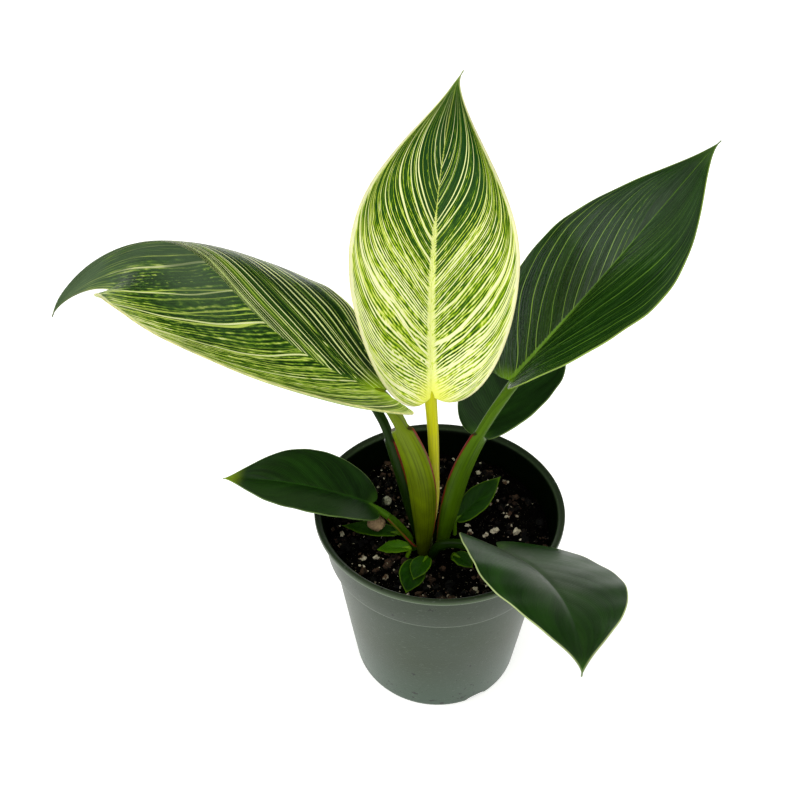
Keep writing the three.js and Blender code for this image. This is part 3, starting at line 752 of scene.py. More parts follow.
class Recipe:
    """One procedural material. What goes into a node is a number, a colour or another node's value."""

    def __init__(self, name, specular):
        self.material = bpy.data.materials.new(name)
        self.material.use_nodes = True
        self.tree = self.material.node_tree
        self.shader = self.tree.nodes["Principled BSDF"]
        self.set_shader(Specular_IOR_Level=specular)

    def feed(self, socket, value):
        if isinstance(value, Value):
            self.tree.links.new(value.socket, socket)
        elif hasattr(value, "__len__") and socket.type == "RGBA":
            socket.default_value = (*list(value)[:3], 1)
        else:
            socket.default_value = value

    def set_shader(self, **inputs):
        for key, value in inputs.items():
            self.feed(self.shader.inputs[key.replace("_", " ")], value)

    def node(self, kind, settings=None, **inputs):
        made = self.tree.nodes.new(kind)
        for key, setting in (settings or {}).items():
            setattr(made, key, setting)
        for key, value in inputs.items():
            self.feed(made.inputs[key.replace("_", " ")], value)
        return made

    def value(self, kind, output, settings=None, **inputs):
        return Value(self, self.node(kind, settings, **inputs).outputs[output])

    def math(self, operation, *numbers):
        made = self.node("ShaderNodeMath", {"operation": operation})
        for socket, number in zip(made.inputs, numbers):
            self.feed(socket, number)
        return Value(self, made.outputs[0])

    def most(self, a, b):
        return self.math("MAXIMUM", a, b)

    def attribute(self, name, output="Vector"):
        return self.value("ShaderNodeAttribute", output, {"attribute_name": name})

    def split(self, vector):
        made = self.node("ShaderNodeSeparateXYZ", Vector=vector)
        return [Value(self, output) for output in made.outputs]

    def place(self):
        """Object coordinates in millimetres."""
        where = self.value("ShaderNodeTexCoord", "Object")
        return self.value("ShaderNodeVectorMath", 0, {"operation": "SCALE"}, Vector=where, Scale=1 / MM)

    def noise(self, where, scale=1.0, detail=2.0, roughness=0.5):
        """Noise at where, which is a vector or its x, y and z."""
        if isinstance(where, tuple):
            x, y, z = where
            where = self.value("ShaderNodeCombineXYZ", 0, X=x, Y=y, Z=z)
        return self.value("ShaderNodeTexNoise", "Fac", Vector=where, Scale=scale, Detail=detail,
                          Roughness=roughness)

    def dice(self, whole, seed):
        """One random number for each whole number."""
        where = self.value("ShaderNodeCombineXYZ", 0, X=whole, Y=seed, Z=0)
        return self.value("ShaderNodeTexWhiteNoise", "Value", {"noise_dimensions": "2D"}, Vector=where)

    def blend(self, share, a, b):
        made = self.node("ShaderNodeMix", {"data_type": "RGBA"})
        for index, value in ((0, share), (6, a), (7, b)):
            self.feed(made.inputs[index], value)
        return Value(self, made.outputs[2])

    def layers(self, colour, *layers):
        """colour with each layer over it in turn. A layer is its share, 0 to 1, and its colour."""
        for share, over in layers:
            colour = self.blend(share, colour, over)
        return colour

    def done(self, colour, roughness, relief=None, depth=0.0):
        """The finished material, with relief so many millimetres deep."""
        self.set_shader(Base_Color=colour, Roughness=roughness)
        if relief is not None:
            normal = self.value("ShaderNodeBump", "Normal", Height=relief, Distance=depth * MM)
            self.set_shader(Normal=normal)
        return self.material


def pinstripes(make, q, reach, taper, seed, count, shift, wander, thin, thick, broken):
    """Lines that follow the side veins, count of them to the blade's length. Each line has its own
    width between thin and thick, less by taper, and the share broken of them falls into dashes."""
    drift = make.noise((q * (count / 3), reach * 1.6, seed), detail=1)
    phase = q * count + shift + drift * wander
    line = make.math("FLOOR", phase)
    ridge = make.math("PINGPONG", phase, 0.5) * 2
    own = make.dice(line, seed)
    low = 1 - own.step(0, 1, thin, thick) * taper
    solid = ridge.step(low, low + (0.04 + 0.003 * count))
    dashes = make.noise((line * 5.3, reach * 24, seed), detail=2)
    again = make.math("FRACT", own * 7.7)
    return solid * (dashes + again.step(broken - 0.1, broken + 0.1, 0, 0.5)).step(0.44, 0.66)


def blade_finish(name, look):
    """A striped leaf. Fine lines follow the side veins and make its ground lighter or darker; over them
    lie bolder stripes, the pale margin and the midrib. look says how much of each, and where."""
    make = Recipe(name, look["specular"])
    s, w, q = make.split(make.attribute("blade_map"))
    x = abs(make.attribute("from_midrib", "Fac"))
    under = make.attribute("under", "Fac")
    reach = abs(w)
    right = w.step(-0.001, 0.001)
    seed = right * 17.3 + look["seed"]
    fine = look["fine"]

    bands = make.noise((q * look["bands"], reach * 1.1, seed), detail=1)
    drift = make.noise((q * (fine / 5), reach * 2.6, seed + 31), detail=1)
    phase = q * fine + drift * 2.4
    thread = make.math("PINGPONG", phase, 0.5) * 2
    own = make.dice(make.math("FLOOR", phase), seed)
    specks = make.noise((phase * 1.3, reach * 17, seed + 57), detail=3)

    pale = q.curve(look["ground"])
    if "ground_right" in look:
        pale = make.blend(right, pale, q.curve(look["ground_right"]))
    raised = thread.step(0.2, 0.85) * (own * 0.9 + 0.35)
    pale = pale + (raised - 0.42) * look["fine_gain"]
    pale = pale + (bands - 0.5) * look["band_gain"]
    pale = pale + (specks - 0.5) * look["speck_gain"]
    outer = make.blend(right, [look["outer"]] * 3, [look["outer_right"]] * 3)
    pale = pale + reach.step(0.6, 1.0) * outer - s.step(*look["dark_tip"])
    taper = s.step(0.55, 0.9, 1.0, look["taper"])
    for side, count, *law, level, end in look["lines"]:
        shown = pinstripes(make, q, reach, taper, seed + count, count, *law)
        shown = shown * q.step(end + 0.06, end - 0.06, 0, level)
        shown = shown * reach.step(0.65, 0.95, 1, look["outer_lines"])
        if side:
            shown = shown * (right if side > 0 else 1 - right)
        pale = make.most(pale, shown)

    from_edge = x * (1 - reach) / reach
    wide = s.step(0.6, 0.95, look["margin"], 0.35 * look["margin"])
    ragged = (specks - 0.5) * (wide * 1.5)
    pale = make.most(pale, (from_edge + ragged).step(wide, wide * 0.55) * look["margin_pale"])
    rib_half = s.curve(look["rib_width"]) * 4
    feather = (thread + specks - 1) * look["rib_feather"]
    rib = 1 - (x + feather * (rib_half * 0.6)).step(rib_half * 0.7, rib_half)
    pale = make.most(pale, rib * s.step(*look["rib_pale"]))
    flecks = make.noise((s * 70, x * 2.2, seed), detail=1)
    flecks = flecks.step(0.56, 0.64) * x.step(1.1, 0.5)
    pale = pale - flecks * rib * look["rib_flecks"]

    glow = s.step(look["glow"], 0.0) * x.step(12, 2)
    # Painted sheen: a grey-green patch, given by its span along, its span across, its strength and its
    # tone, stands in for the satin sheen on the blade.
    along, across, dust_and_sheen, painted_sheen = look["painted_sheen"]
    cast = make.noise(make.place(), scale=0.045, detail=3)
    painted_sheen_mask = s.step(*along) * x.step(*across) * cast.step(0.35, 0.6, 0.5 * dust_and_sheen, dust_and_sheen)
    painted_sheen_mask = painted_sheen_mask * (1 - right * (1 - look["painted_sheen_right"]))
    colour = make.layers(
        pale.ramp(*zip(TONE_STOPS, look["tones"])),
        (rib * look["rib_share"], look["rib_tone"]),
        (glow * look["glow_share"], look["glow_tone"]),
        (from_edge.step(0.6, 0.3) * look["rim_share"], look["rim_tone"]),
        (s.step(*look["tip"]), look["tip_tone"]),
        # painted sheen
        (painted_sheen_mask, painted_sheen),
        (cast.step(0.4, 0.7, 0, look["mottle"]), look["mottle_tone"]),
    )
    paler = make.blend(UNDERSIDE_PALENESS, colour, look["under_tone"])
    rough = (specks - 0.5) * 0.2 + look["roughness"] + under * 0.15
    cells = make.noise(make.place(), scale=2.6, detail=2)
    relief = thread * look["thread_relief"] + cells * 0.35
    return make.done(make.blend(under, colour, paler), rough, relief, depth=0.12)


# A look's ground is how pale the blade is along its veins' starts, q, and tones are its colours from
# there to the palest. Each of its lines says side (-1 left, 1 right, 0 both), count, shift, wander, thin,
# thick and broken as pinstripes has them, then how pale it gets and at which q it ends. What has a
# _right is the right half's. Spans run along the blade, as from, to and what they give there.
TONE_STOPS = (0.0, 0.28, 0.5, 0.72, 0.92)
UNDERSIDE_PALENESS = 0.55


def blade_looks(c):
    """What tells the blades apart, from the user's colours c."""
    dark = (c.deep_green, c.leaf_green, tone(86, 130, 44), tone(150, 182, 84), tone(196, 212, 120))
    plain = dict(
        tones=dark, bands=14, fine=70, ground=[(0, 0.1), (1, 0.06)], outer=0.0, outer_right=0.0,
        band_gain=0.3, fine_gain=0.1, speck_gain=0.12,
        lines=[(0, 16, 0, 1.2, 0.06, 0.2, 0.3, 0.17, 0.9)], outer_lines=1.0, dark_tip=(0.6, 0.85, 0, 0),
        taper=0.5, margin=0.4, margin_pale=0.35, rib_width=[(0, 0.3), (0.4, 0.12), (1, 0.05)],
        rib_pale=(0.5, 1, 0.24, 0.12), rib_feather=0.5, rib_flecks=0.0, rib_share=0.0,
        rib_tone=tone(120, 160, 60), glow=0.06, glow_share=0.4, glow_tone=tone(84, 138, 10),
        rim_share=0.7, rim_tone=tone(140, 168, 90), tip=(0.88, 0.98, 0, 0.6),
        tip_tone=tone(60, 110, 14), under_tone=tone(66, 104, 40), roughness=0.36, specular=0.35,
        # The painted sheen says where along and across, how strongly and in what tone a grey-green sheen is
        # painted on.
        painted_sheen=((0.3, 0.6), (8, 0), 0.1, tone(80, 92, 70)), painted_sheen_right=1.0, mottle=0.3,
        mottle_tone=tone(10, 34, 4), thread_relief=0.4,
    )
    return {
        "newest": dict(
            plain, seed=3.0,
            tones=(tone(14, 66, 0), tone(76, 124, 0), tone(176, 206, 12), tone(240, 247, 130), c.cream),
            bands=22, fine=104,
            ground=[(0, 0.6), (0.1, 0.55), (0.29, 0.5), (0.36, 0.36), (0.5, 0.3), (0.57, 0.14),
                    (0.75, 0.04), (1, 0.02)],
            outer=0.06, outer_right=0.02, outer_lines=0.85, band_gain=0.8, fine_gain=0.75,
            speck_gain=1.5, dark_tip=(0.38, 0.64, 0, 0.48), taper=0.8,
            lines=[(0, 5.4, -0.45, 0.4, 0.06, 0.1, 0.0, 1.0, 0.62),
                   (0, 17, 0, 1.2, 0.06, 0.2, 0.1, 0.88, 1.0),
                   (0, 36, 0, 1.2, 0.06, 0.22, 0.5, 0.66, 1.0)],
            margin=1.8, margin_pale=1.0,
            rib_width=[(0, 0.56), (0.12, 0.44), (0.3, 0.32), (0.5, 0.22), (0.57, 0.06), (1, 0.02)],
            rib_pale=(0.53, 0.6, 0.95, 0.15), rib_feather=1.5, rib_flecks=0.5, rib_share=0.6,
            rib_tone=tone(240, 250, 116), glow=0.1, glow_share=0.85, glow_tone=tone(248, 252, 96),
            rim_share=0.5, rim_tone=tone(250, 240, 170), tip_tone=tone(84, 140, 6),
            under_tone=tone(196, 208, 110), roughness=0.42, specular=0.18, mottle=0.1,
            mottle_tone=tone(120, 160, 20), thread_relief=0.7,
        ),
        "arching": dict(
            plain, seed=11.0,
            tones=(tone(20, 50, 4), tone(54, 94, 12), tone(134, 168, 34), tone(206, 224, 96),
                   tone(244, 248, 178)),
            bands=26, fine=74, ground=[(0, 0.36), (0.12, 0.26), (0.3, 0.16), (0.5, 0.08), (1, 0.03)],
            ground_right=[(0, 0.04), (0.4, 0.0), (1, 0.0)], outer=0.42, band_gain=1.1, fine_gain=0.45,
            speck_gain=1.5, specular=0.22,
            lines=[(-1, 9.6, -0.4, 0.6, 0.08, 0.18, 0.0, 0.92, 0.9),
                   (-1, 26, 0, 1.2, 0.06, 0.24, 0.2, 0.7, 0.9),
                   (-1, 70, 0, 1.2, 0.12, 0.4, 0.7, 0.6, 0.5),
                   (1, 54, 0, 1.6, 0.14, 0.38, 0.12, 0.96, 0.8),
                   (1, 15, 0.4, 1.0, 0.06, 0.15, 0.1, 0.98, 0.9)],
            margin=1.5, margin_pale=0.92, rib_width=[(0, 0.4), (0.2, 0.12), (1, 0.05)],
            rib_pale=(0.5, 1, 0.2, 0.1), glow=0.07, glow_share=0.8, glow_tone=tone(170, 206, 16),
            rim_tone=tone(236, 226, 140), tip_tone=tone(66, 112, 14), under_tone=tone(120, 150, 70),
            # Painted sheen along the midrib of the left, near half, from a quarter of the length on.
            painted_sheen=((0.22, 0.48), (38, 5), 0.8, tone(84, 104, 74)), painted_sheen_right=0.1,
            mottle_tone=tone(44, 66, 30),
        ),
        "right": dict(
            plain, seed=23.0, ground=[(0, 0.08), (0.5, 0.06), (1, 0.03)],
            tones=(tone(18, 48, 8), tone(44, 84, 14), tone(104, 144, 44), tone(160, 190, 80),
                   tone(206, 220, 120)),
            lines=[(-1, 17, -0.2, 1.0, 0.06, 0.13, 0.1, 0.66, 0.6),
                   (-1, 40, 0, 1.0, 0.06, 0.2, 0.6, 0.36, 0.5),
                   (1, 42, 0, 1.0, 0.08, 0.26, 0.4, 0.42, 0.5),
                   (1, 13, 0.3, 1.0, 0.05, 0.12, 0.2, 0.5, 0.6)],
            speck_gain=0.3, rib_width=[(0, 0.5), (0.15, 0.3), (0.35, 0.16), (0.6, 0.07), (1, 0.03)],
            rib_pale=(0.2, 0.5, 0.5, 0.14), rib_share=0.4, rib_tone=tone(110, 156, 10), margin=0.5,
            margin_pale=0.5, glow=0.05, glow_share=0.7, glow_tone=tone(120, 166, 8), rim_share=0.8,
            rim_tone=tone(150, 176, 70), tip_tone=tone(70, 116, 10), roughness=0.26, specular=0.44,
        ),
        "rear": dict(plain, seed=31.0),
        "left_low": dict(
            plain, seed=41.0, tip=(0.84, 0.97, 0, 0.9), tip_tone=tone(150, 178, 16),
            # Painted sheen over the left half, away from the midrib.
            painted_sheen=((0, 0.15), (1, 9), 0.7, tone(58, 82, 44)), painted_sheen_right=0.0,
        ),
        "front_low": dict(
            plain, seed=53.0, tones=(tone(20, 48, 8), *dark[1:]),
            lines=[(0, 15, 0, 1.0, 0.06, 0.2, 0.4, 0.1, 0.9)], fine_gain=0.05, thread_relief=0.15,
            rib_pale=(0.5, 1, 0.12, 0.06), rim_tone=tone(206, 220, 150), specular=0.32, margin=0.5,
            # Painted sheen along the midrib, fading out beyond two thirds of the length.
            painted_sheen=((0.75, 0.45), (16, 2), 0.6, tone(76, 90, 66)),
        ),
        "hidden": dict(plain, seed=61.0),
        "basal": dict(
            plain, seed=71.0,
            tones=(tone(12, 46, 0), tone(38, 84, 0), tone(100, 140, 16), tone(150, 180, 50),
                   tone(180, 196, 80)),
            rib_pale=(0.5, 1, 0.1, 0.05), margin_pale=0.2, rim_share=0.5, rim_tone=tone(104, 140, 14),
            under_tone=tone(76, 120, 16), roughness=0.4, glow_share=0.15,
            painted_sheen=((0, 1), (2, 1), 0, dark[0]), tip_tone=tone(96, 136, 10), mottle=0.5,
            mottle_tone=tone(44, 86, 0), specular=0.15,
        ),
    }


def stalk_finish(name, low, high, margin_tone):
    """A fleshy stalk: streaked along, from its low colour to its high one, with red sheath margins and
    a brown corner where a sheath ends."""
    make = Recipe(name, specular=0.14)
    t, across, opened = make.split(make.attribute("stalk_map"))
    streaks = make.noise((t * 2.2, across * 9, make.attribute("under", "Fac")), detail=3)
    patches = make.noise(make.place(), scale=0.12, detail=2)
    wing = abs(across)
    margin = (wing + (patches - 0.5) * 0.05).step(0.965, 0.99) * opened.step(0.25, 0.6)
    corner = opened.step(0.02, 0.1) * opened.step(0.62, 0.4) * (t.step(0.45, 0.55) * wing.step(0.84, 0.97))
    colour = make.layers(
        (t + (patches - 0.5) * 0.5).ramp((0.1, low), (0.75, high)),
        (streaks.step(0.45, 0.7, 0.0, 0.5), [c * 0.45 for c in low]),
        (margin * patches.step(0.3, 0.6, 0.4, 1), margin_tone),
        (corner * 0.8, tone(46, 26, 16)),
    )
    return make.done(colour, roughness=0.38, relief=streaks, depth=0.15)


def pot_finish(colours):
    """Satin moulded plastic, paler and more teal towards the foot, greener at the lip, scuffed and dusted,
    with dirt specks that lie thickest by the foot. Painted highlights run along the lip's lower edge and
    the collar's edge; painted shade darkens the body towards the top, the lip's top and the whole inside."""
    make = Recipe("moulded plastic", specular=0.12)
    where = make.place()
    x, y, z = make.split(where)
    clouds = make.noise(where, scale=0.03, detail=4)
    grain = make.noise(where, scale=1.8, detail=3)
    scuffs = make.noise((x * 0.5, y * 0.5, z * 3), detail=2)
    dirt = make.noise(where, scale=0.26, detail=3, roughness=0.6)
    green = list(colours.pot_green)
    # Painted highlights: edge is a pale band along the lip's lower edge, line one along the collar's edge.
    edge = z.step(NECK - 0.3, NECK) * z.step(NECK + 0.9, NECK + 0.4)
    line = z.step(COLLAR - 0.2, COLLAR) * z.step(COLLAR + 0.6, COLLAR + 0.3)
    splashed = z.step(34, 4, 0.6, 0.5) - z.step(COLLAR - 4, COLLAR + 4, 0, 0.03)
    wall = z * ((THROAT - FOOT) / NECK) + FOOT + z.step(COLLAR + 0.4, COLLAR + 0.9, 0, COLLAR_STEP)
    # Painted shade: the inside of the wall is darkened almost to black and loses its sheen.
    painted_inside_shade = (wall - make.math("SQRT", x * x + y * y)).step(0.3, 1.0)
    colour = make.layers(
        clouds.ramp((0.3, [c * 0.52 for c in green]), (0.75, tone(54, 66, 52))),
        (z.step(40, 0, 0, 0.55), tone(56, 82, 66)),
        # painted shade: the body darkens towards the top, under the lip
        (z.step(50, 90, 0, 0.35), tone(34, 44, 34)),
        (z.step(NECK - 0.4, NECK + 0.1), green),
        # painted shade on the lip's top
        (z.step(NECK + 1, NECK + 2.6, 0, 0.7), tone(26, 34, 20)),
        # painted highlights on the lip's lower edge and the collar's edge
        (make.most(edge, line) * 0.5, tone(120, 136, 110)),
        (scuffs.step(0.62, 0.75, 0, 0.25), tone(140, 150, 142)),
        ((dirt - splashed).step(0.105, 0.135, 0, 0.9), tone(14, 16, 12)),
        # painted shade over the inside of the wall
        (painted_inside_shade, tone(1, 8, 0)),
    )
    make.set_shader(Sheen_Weight=painted_inside_shade.step(0.1, 0.6, 0.2, 0), Sheen_Roughness=0.4)
    return make.done(colour, roughness=grain * 0.16 + 0.3, relief=grain + clouds * 2, depth=0.05)


def soil_finish(colours):
    """Dark, moist crumbs, with a few pale ones, dusted with perlite."""
    make = Recipe("potting mix", specular=0.03)
    where = make.place()
    crumbs = make.noise(where, scale=0.5, detail=6, roughness=0.7)
    dust_and_sheen = make.noise(where, scale=2.4, detail=2)
    brown = crumbs.ramp((0.35, tone(1, 1, 1)), (0.58, colours.soil_brown), (0.74, tone(22, 15, 9)),
                        (0.85, tone(52, 36, 24)))
    colour = make.blend(dust_and_sheen.step(0.7, 0.76, 0, 0.8), brown, colours.perlite)
    return make.done(colour, roughness=0.9, relief=crumbs, depth=1.2)


def grain_finish(name, pale, stained, scale, depth, low=0.28):
    """A porous lump: pale faces, stained hollows. A higher low value leaves more of it stained."""
    make = Recipe(name, specular=0.3)
    where = make.place()
    stains = make.noise(where, scale=scale, detail=4, roughness=0.65)
    each = make.noise(where, scale=scale * 0.2, detail=1)
    colour = (stains + (each - 0.5) * 1.6).ramp(
        (low, stained), (low + 0.32, pale), (0.98, [min(1, c * 1.15) for c in pale]))
    return make.done(colour, roughness=0.85, relief=stains, depth=depth)


# ---- the stage ------------------------------------------------------------------------------

def lay_floor(edge, glow):
    """A pale floor just below the pot, which glows with the light that it gives back."""
    clear_selection()
    bpy.ops.mesh.primitive_plane_add(size=edge, location=(0, 0, -FLOOR_GAP))
    floor = named("floor")
    bpy.ops.object.transform_apply(location=True, rotation=True, scale=True)
    make = Recipe("pale floor", specular=0.2)
    make.set_shader(Emission_Color=(1.0, 0.995, 0.97), Emission_Strength=glow)
    haze = make.noise(make.place(), scale=0.01, detail=3)
    paper = haze.ramp((0.3, (0.88, 0.88, 0.86)), (0.7, (0.91, 0.91, 0.89)))
    floor.data.materials.append(make.done(paper, roughness=0.75))


def add_light(name, kind, power, colour, source, **settings):
    """A light that shines as from source towards the plant."""
    light = bpy.data.lights.new(name, kind)
    light.energy = power
    light.color = colour
    for key, value in settings.items():
        setattr(light, key, value)
    lamp = bpy.data.objects.new(name, light)
    lamp.rotation_euler = Vector(source).to_track_quat("Z", "Y").to_euler()
    bpy.context.scene.collection.objects.link(lamp)
    return lamp


def set_surround(strength):
    """A world that is white low down and cooler above, and that shiny surfaces don't mirror."""
    world = bpy.data.worlds.new("surround")
    world.use_nodes = True
    bpy.context.scene.world = world
    tree = world.node_tree
    place = tree.nodes.new("ShaderNodeTexCoord").outputs["Generated"]
    split = tree.nodes.new("ShaderNodeSeparateXYZ")
    ramp = tree.nodes.new("ShaderNodeValToRGB")
    for element, position, colour in zip(
            ramp.color_ramp.elements, (0.05, 0.55), ((1, 1, 0.99, 1), (0.85, 0.86, 0.88, 1))):
        element.position = position
        element.color = colour
    tree.links.new(place, split.inputs[0])
    tree.links.new(split.outputs["Z"], ramp.inputs["Fac"])
    tree.links.new(ramp.outputs["Color"], tree.nodes["Background"].inputs["Color"])
    tree.nodes["Background"].inputs["Strength"].default_value = strength
    world.cycles_visibility.glossy = False


def set_camera():
    """The camera looks down on the plant from the front, level to within a degree."""
    pitch, yaw, tilt = (math.radians(angle) for angle in (PITCH, YAW, TILT))
    forward = Vector((math.sin(yaw) * math.cos(pitch), math.cos(yaw) * math.cos(pitch), -math.sin(pitch)))
    level = forward.cross(Vector((0, 0, 1))).normalized()
    lift = level.cross(forward)
    right = level * math.cos(tilt) + lift * math.sin(tilt)
    up = lift * math.cos(tilt) - level * math.sin(tilt)
    lens = bpy.data.cameras.new("camera")
    lens.sensor_width = SENSOR_WIDTH
    lens.lens = SENSOR_WIDTH * FOCAL_PIXELS / PICTURE_PIXELS
    lens.clip_start = 0.01
    camera = bpy.data.objects.new("camera", lens)
    camera.matrix_world = Matrix((right, up, -forward)).transposed().to_4x4()
    camera.location = CAMERA_PLACE
    bpy.context.scene.collection.objects.link(camera)
    bpy.context.scene.camera = camera


# ---- operators, one for each kind of piece --------------------------------------------------

class PLANT_OT_stage(bpy.types.Operator):
    """Lays the floor, and sets up the light and the camera"""
    bl_idname = "plant.stage"
    bl_label = "Stage"

    def execute(self, context):
        stage = context.scene.plant_stage
        lay_floor(stage.floor_size, stage.floor_glow)
        add_light("key light", "SUN", stage.sun_strength, (1.0, 0.99, 0.96), (-0.2, -0.5, 1.0),
                  angle=math.radians(80))
        softbox = add_light("softbox", "AREA", stage.softbox_power, (0.93, 0.97, 1.0),
                            (-1.15, -0.16, 1.05), shape="RECTANGLE", size=0.6, size_y=0.45)
        softbox.location = (-1.15, -0.16, 1.2)
        softbox.visible_camera = False
        set_surround(stage.sky_strength)
        set_camera()
        context.scene.view_settings.view_transform = "Standard"
        return {"FINISHED"}


class PLANT_OT_pot(bpy.types.Operator):
    """Turns the tapered pot with its collar and narrow lip, and cuts the drain notches in its foot"""
    bl_idname = "plant.pot"
    bl_label = "Pot"

    def execute(self, context):
        wall = context.scene.plant_sizes.pot_wall / MM
        shoulder = wall_radius(COLLAR) + COLLAR_STEP
        rings = [(FOOT - 9, 0), (FOOT - 0.8, 0), (FOOT - 0.25, 0.22), (FOOT, 0.8), (FOOT + 0.15, 2)]
        rings += [(wall_radius(z), z) for z in (20, 40, 58, COLLAR - 1.4, COLLAR - 0.5)]
        rings += [(wall_radius(COLLAR) + 0.2, COLLAR - 0.1), (shoulder - 0.5, COLLAR),
                  (shoulder - 0.12, COLLAR + 0.12), (shoulder, COLLAR + 0.5)]
        rings += [(wall_radius(z), z) for z in (COLLAR + 1, 80, NECK - 1.5, NECK - 0.7)]
        rings.append((wall_radius(NECK) + 0.3, NECK - 0.1))
        rings += [(RIM_RADIUS - inset, NECK + rise) for inset, rise in LIP]
        rings += [
            (wall_radius(NECK) - wall + 0.3, NECK + 0.4), (wall_radius(NECK) - wall, NECK - 0.4),
            (wall_radius(80) - wall, 80), (shoulder - wall, COLLAR + wall + 0.3),
            (wall_radius(COLLAR) - wall, COLLAR + 0.3), (wall_radius(40) - wall, 40),
            (FOOT - wall + 0.1, wall + 1), (FOOT - wall - 0.9, wall), (FOOT - 12, wall),
        ]
        pot = turned("nursery_pot", rings, sides=192)
        for i in range(NOTCHES):
            turn = math.radians(360 / NOTCHES * i - 60)
            clear_selection()
            spot = Vector((math.cos(turn), math.sin(turn), 0)) * (FOOT - 0.5) * MM
            bpy.ops.mesh.primitive_cylinder_add(
                vertices=32, radius=NOTCH_RADIUS * MM, depth=9 * MM,
                location=spot + Vector((0, 0, NOTCH_RISE * MM)),
                rotation=(0, math.radians(90), turn), scale=(NOTCH_FLATNESS, 1, 1))
            bar = bpy.context.active_object
            notch = pot.modifiers.new("notch", "BOOLEAN")
            notch.operation = "DIFFERENCE"
            notch.solver = "EXACT"
            notch.object = bar
            only(pot)
            bpy.ops.object.modifier_apply(modifier=notch.name)
            bpy.data.objects.remove(bar)
        soften(pot, 32)
        finish_piece(pot, pot_finish(context.scene.plant_colours), "pot_plastic", "pot")
        return {"FINISHED"}


class PLANT_OT_soil(bpy.types.Operator):
    """Fills the pot with crumbly potting mix, with its perlite grains and loose crumbs"""
    bl_idname = "plant.soil"
    bl_label = "Soil"

    def execute(self, context):
        sizes, colours = context.scene.plant_sizes, context.scene.plant_colours
        level = sizes.soil_level / MM
        low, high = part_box("soil")
        edge = high.x / MM
        rings = [(29, low.z / MM), (edge - 11.3, low.z / MM), (edge - 2.9, COLLAR + 0.3),
                 (edge - 0.7, COLLAR + 2.3), (edge, level - 1.2)]
        rings += [(edge * (1 - i / SOIL_RINGS), level) for i in range(SOIL_RINGS)]
        soil = turned("potting_mix", rings, sides=160)
        points = read_points(soil) / MM
        for point in points:
            if point[2] > level - 2:
                rough = noise.fractal(Vector(point * 0.33), 0.6, 2.1, 5)
                point[2] = (soil_height(point[0], point[1], level) - (level - point[2])
                            + rough * sizes.soil_relief / MM)
        write_points(soil, points * MM)
        soften(soil, 30)
        finish_piece(soil, soil_finish(colours), "potting_soil", "soil")

        draw = random.Random(SCATTER_SEED)
        grains = scattered("perlite_grains", packed_grains(), level, subdivisions=3, roughness=0.9, seed=17)
        soften(grains, 30)
        pearl = grain_finish("perlite grain", colours.perlite, tone(84, 62, 42), scale=0.9, depth=0.5)
        finish_piece(grains, pearl, "perlite")

        def anywhere(count, smallest, largest, power):
            """Places for count lumps, denser in drifts and to the left. power makes small ones common."""
            spots = []
            while len(spots) < count:
                turn, out = draw.uniform(0, 2 * math.pi), SCATTER_RADIUS * math.sqrt(draw.random())
                x, y = out * math.cos(turn), out * math.sin(turn)
                near = math.hypot(x - CROWN[0], y - CROWN[1])
                drift = noise.noise(Vector((x, y, 3)) * 0.07)
                if near > 7 and drift > draw.uniform(-0.6, 0.3) + 0.009 * x:
                    spots.append((x, y, mix(smallest, largest, draw.random() ** power)))
            return spots

        specks = scattered("perlite_specks", anywhere(sizes.specks, 0.18, 1.0, power=2.2), level,
                           subdivisions=1, roughness=0.8, seed=23)
        finish_piece(specks, pearl, "perlite")
        crumbs = scattered("soil_crumbs", anywhere(sizes.crumbs, 0.3, 1.9, power=2.0), level,
                           subdivisions=2, roughness=0.8, seed=29)
        crumb = grain_finish("soil crumb", tone(72, 52, 36), colours.soil_brown, scale=0.6, depth=0.6,
                             low=0.5)
        finish_piece(crumbs, crumb, "potting_soil")
        return {"FINISHED"}


class PLANT_OT_stem(bpy.types.Operator):
    """Turns the short old stem in the middle of the crown, ringed by its leaf scars"""
    bl_idname = "plant.stem"
    bl_label = "Stem"

    def execute(self, context):
        low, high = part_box("stem")
        bottom, top = low.z / MM, high.z / MM
        rings = [(0.9, bottom), (1.5, bottom + 0.4), (2.0, bottom + 2)]
        for i in range(10):
            z = mix(bottom + 3, top - 3, i / 9)
            rings += [(1.8, z), (1.85, z + 1.2), (2.05, z + 1.6), (2.05, z + 1.9)]
        rings += [(1.8, top - 0.9), (1.3, top - 0.3), (0.6, top)]
        stem = turned("old_stem", rings, sides=32)
        centre = (low + high) / 2
        write_points(stem, read_points(stem) + (centre.x, centre.y, 0))
        soften(stem, 50)
        bark = grain_finish("old stem", tone(96, 112, 52), tone(58, 52, 30), scale=0.6, depth=0.3)
        finish_piece(stem, bark, "old_stem", "stem")
        return {"FINISHED"}


class PLANT_OT_stalks(bpy.types.Operator):
    """Grows the seven leaf stalks from the crown, with their winged sheaths"""
    bl_idname = "plant.stalks"
    bl_label = "Stalks"

    def execute(self, context):
        colours = context.scene.plant_colours
        red = colours.red_margin
        finishes = {
            "stalk_yellow": stalk_finish("yellow stalk", tone(190, 180, 84), colours.stalk_yellow, red),
            "stalk_lime": stalk_finish("lime stalk", tone(52, 62, 0), tone(106, 126, 0), red),
            "stalk_olive": stalk_finish("olive stalk", tone(50, 78, 0), tone(84, 120, 4), red),
            "stalk_green": stalk_finish("green stalk", colours.stalk_green, tone(70, 112, 6), red),
            "stalk_dark": stalk_finish("dark stalk", tone(8, 24, 0), tone(28, 54, 0), red),
        }
        for name, stalk in STALKS.items():
            piece = shaped_sheet(f"stalk_{name}", 110, 48, stalk_place(stalk, BLADES[name]))
            soften(piece, 60)
            finish_piece(piece, finishes[stalk["slot"]], stalk["slot"], f"leaf_stalk_{name}")
        return {"FINISHED"}


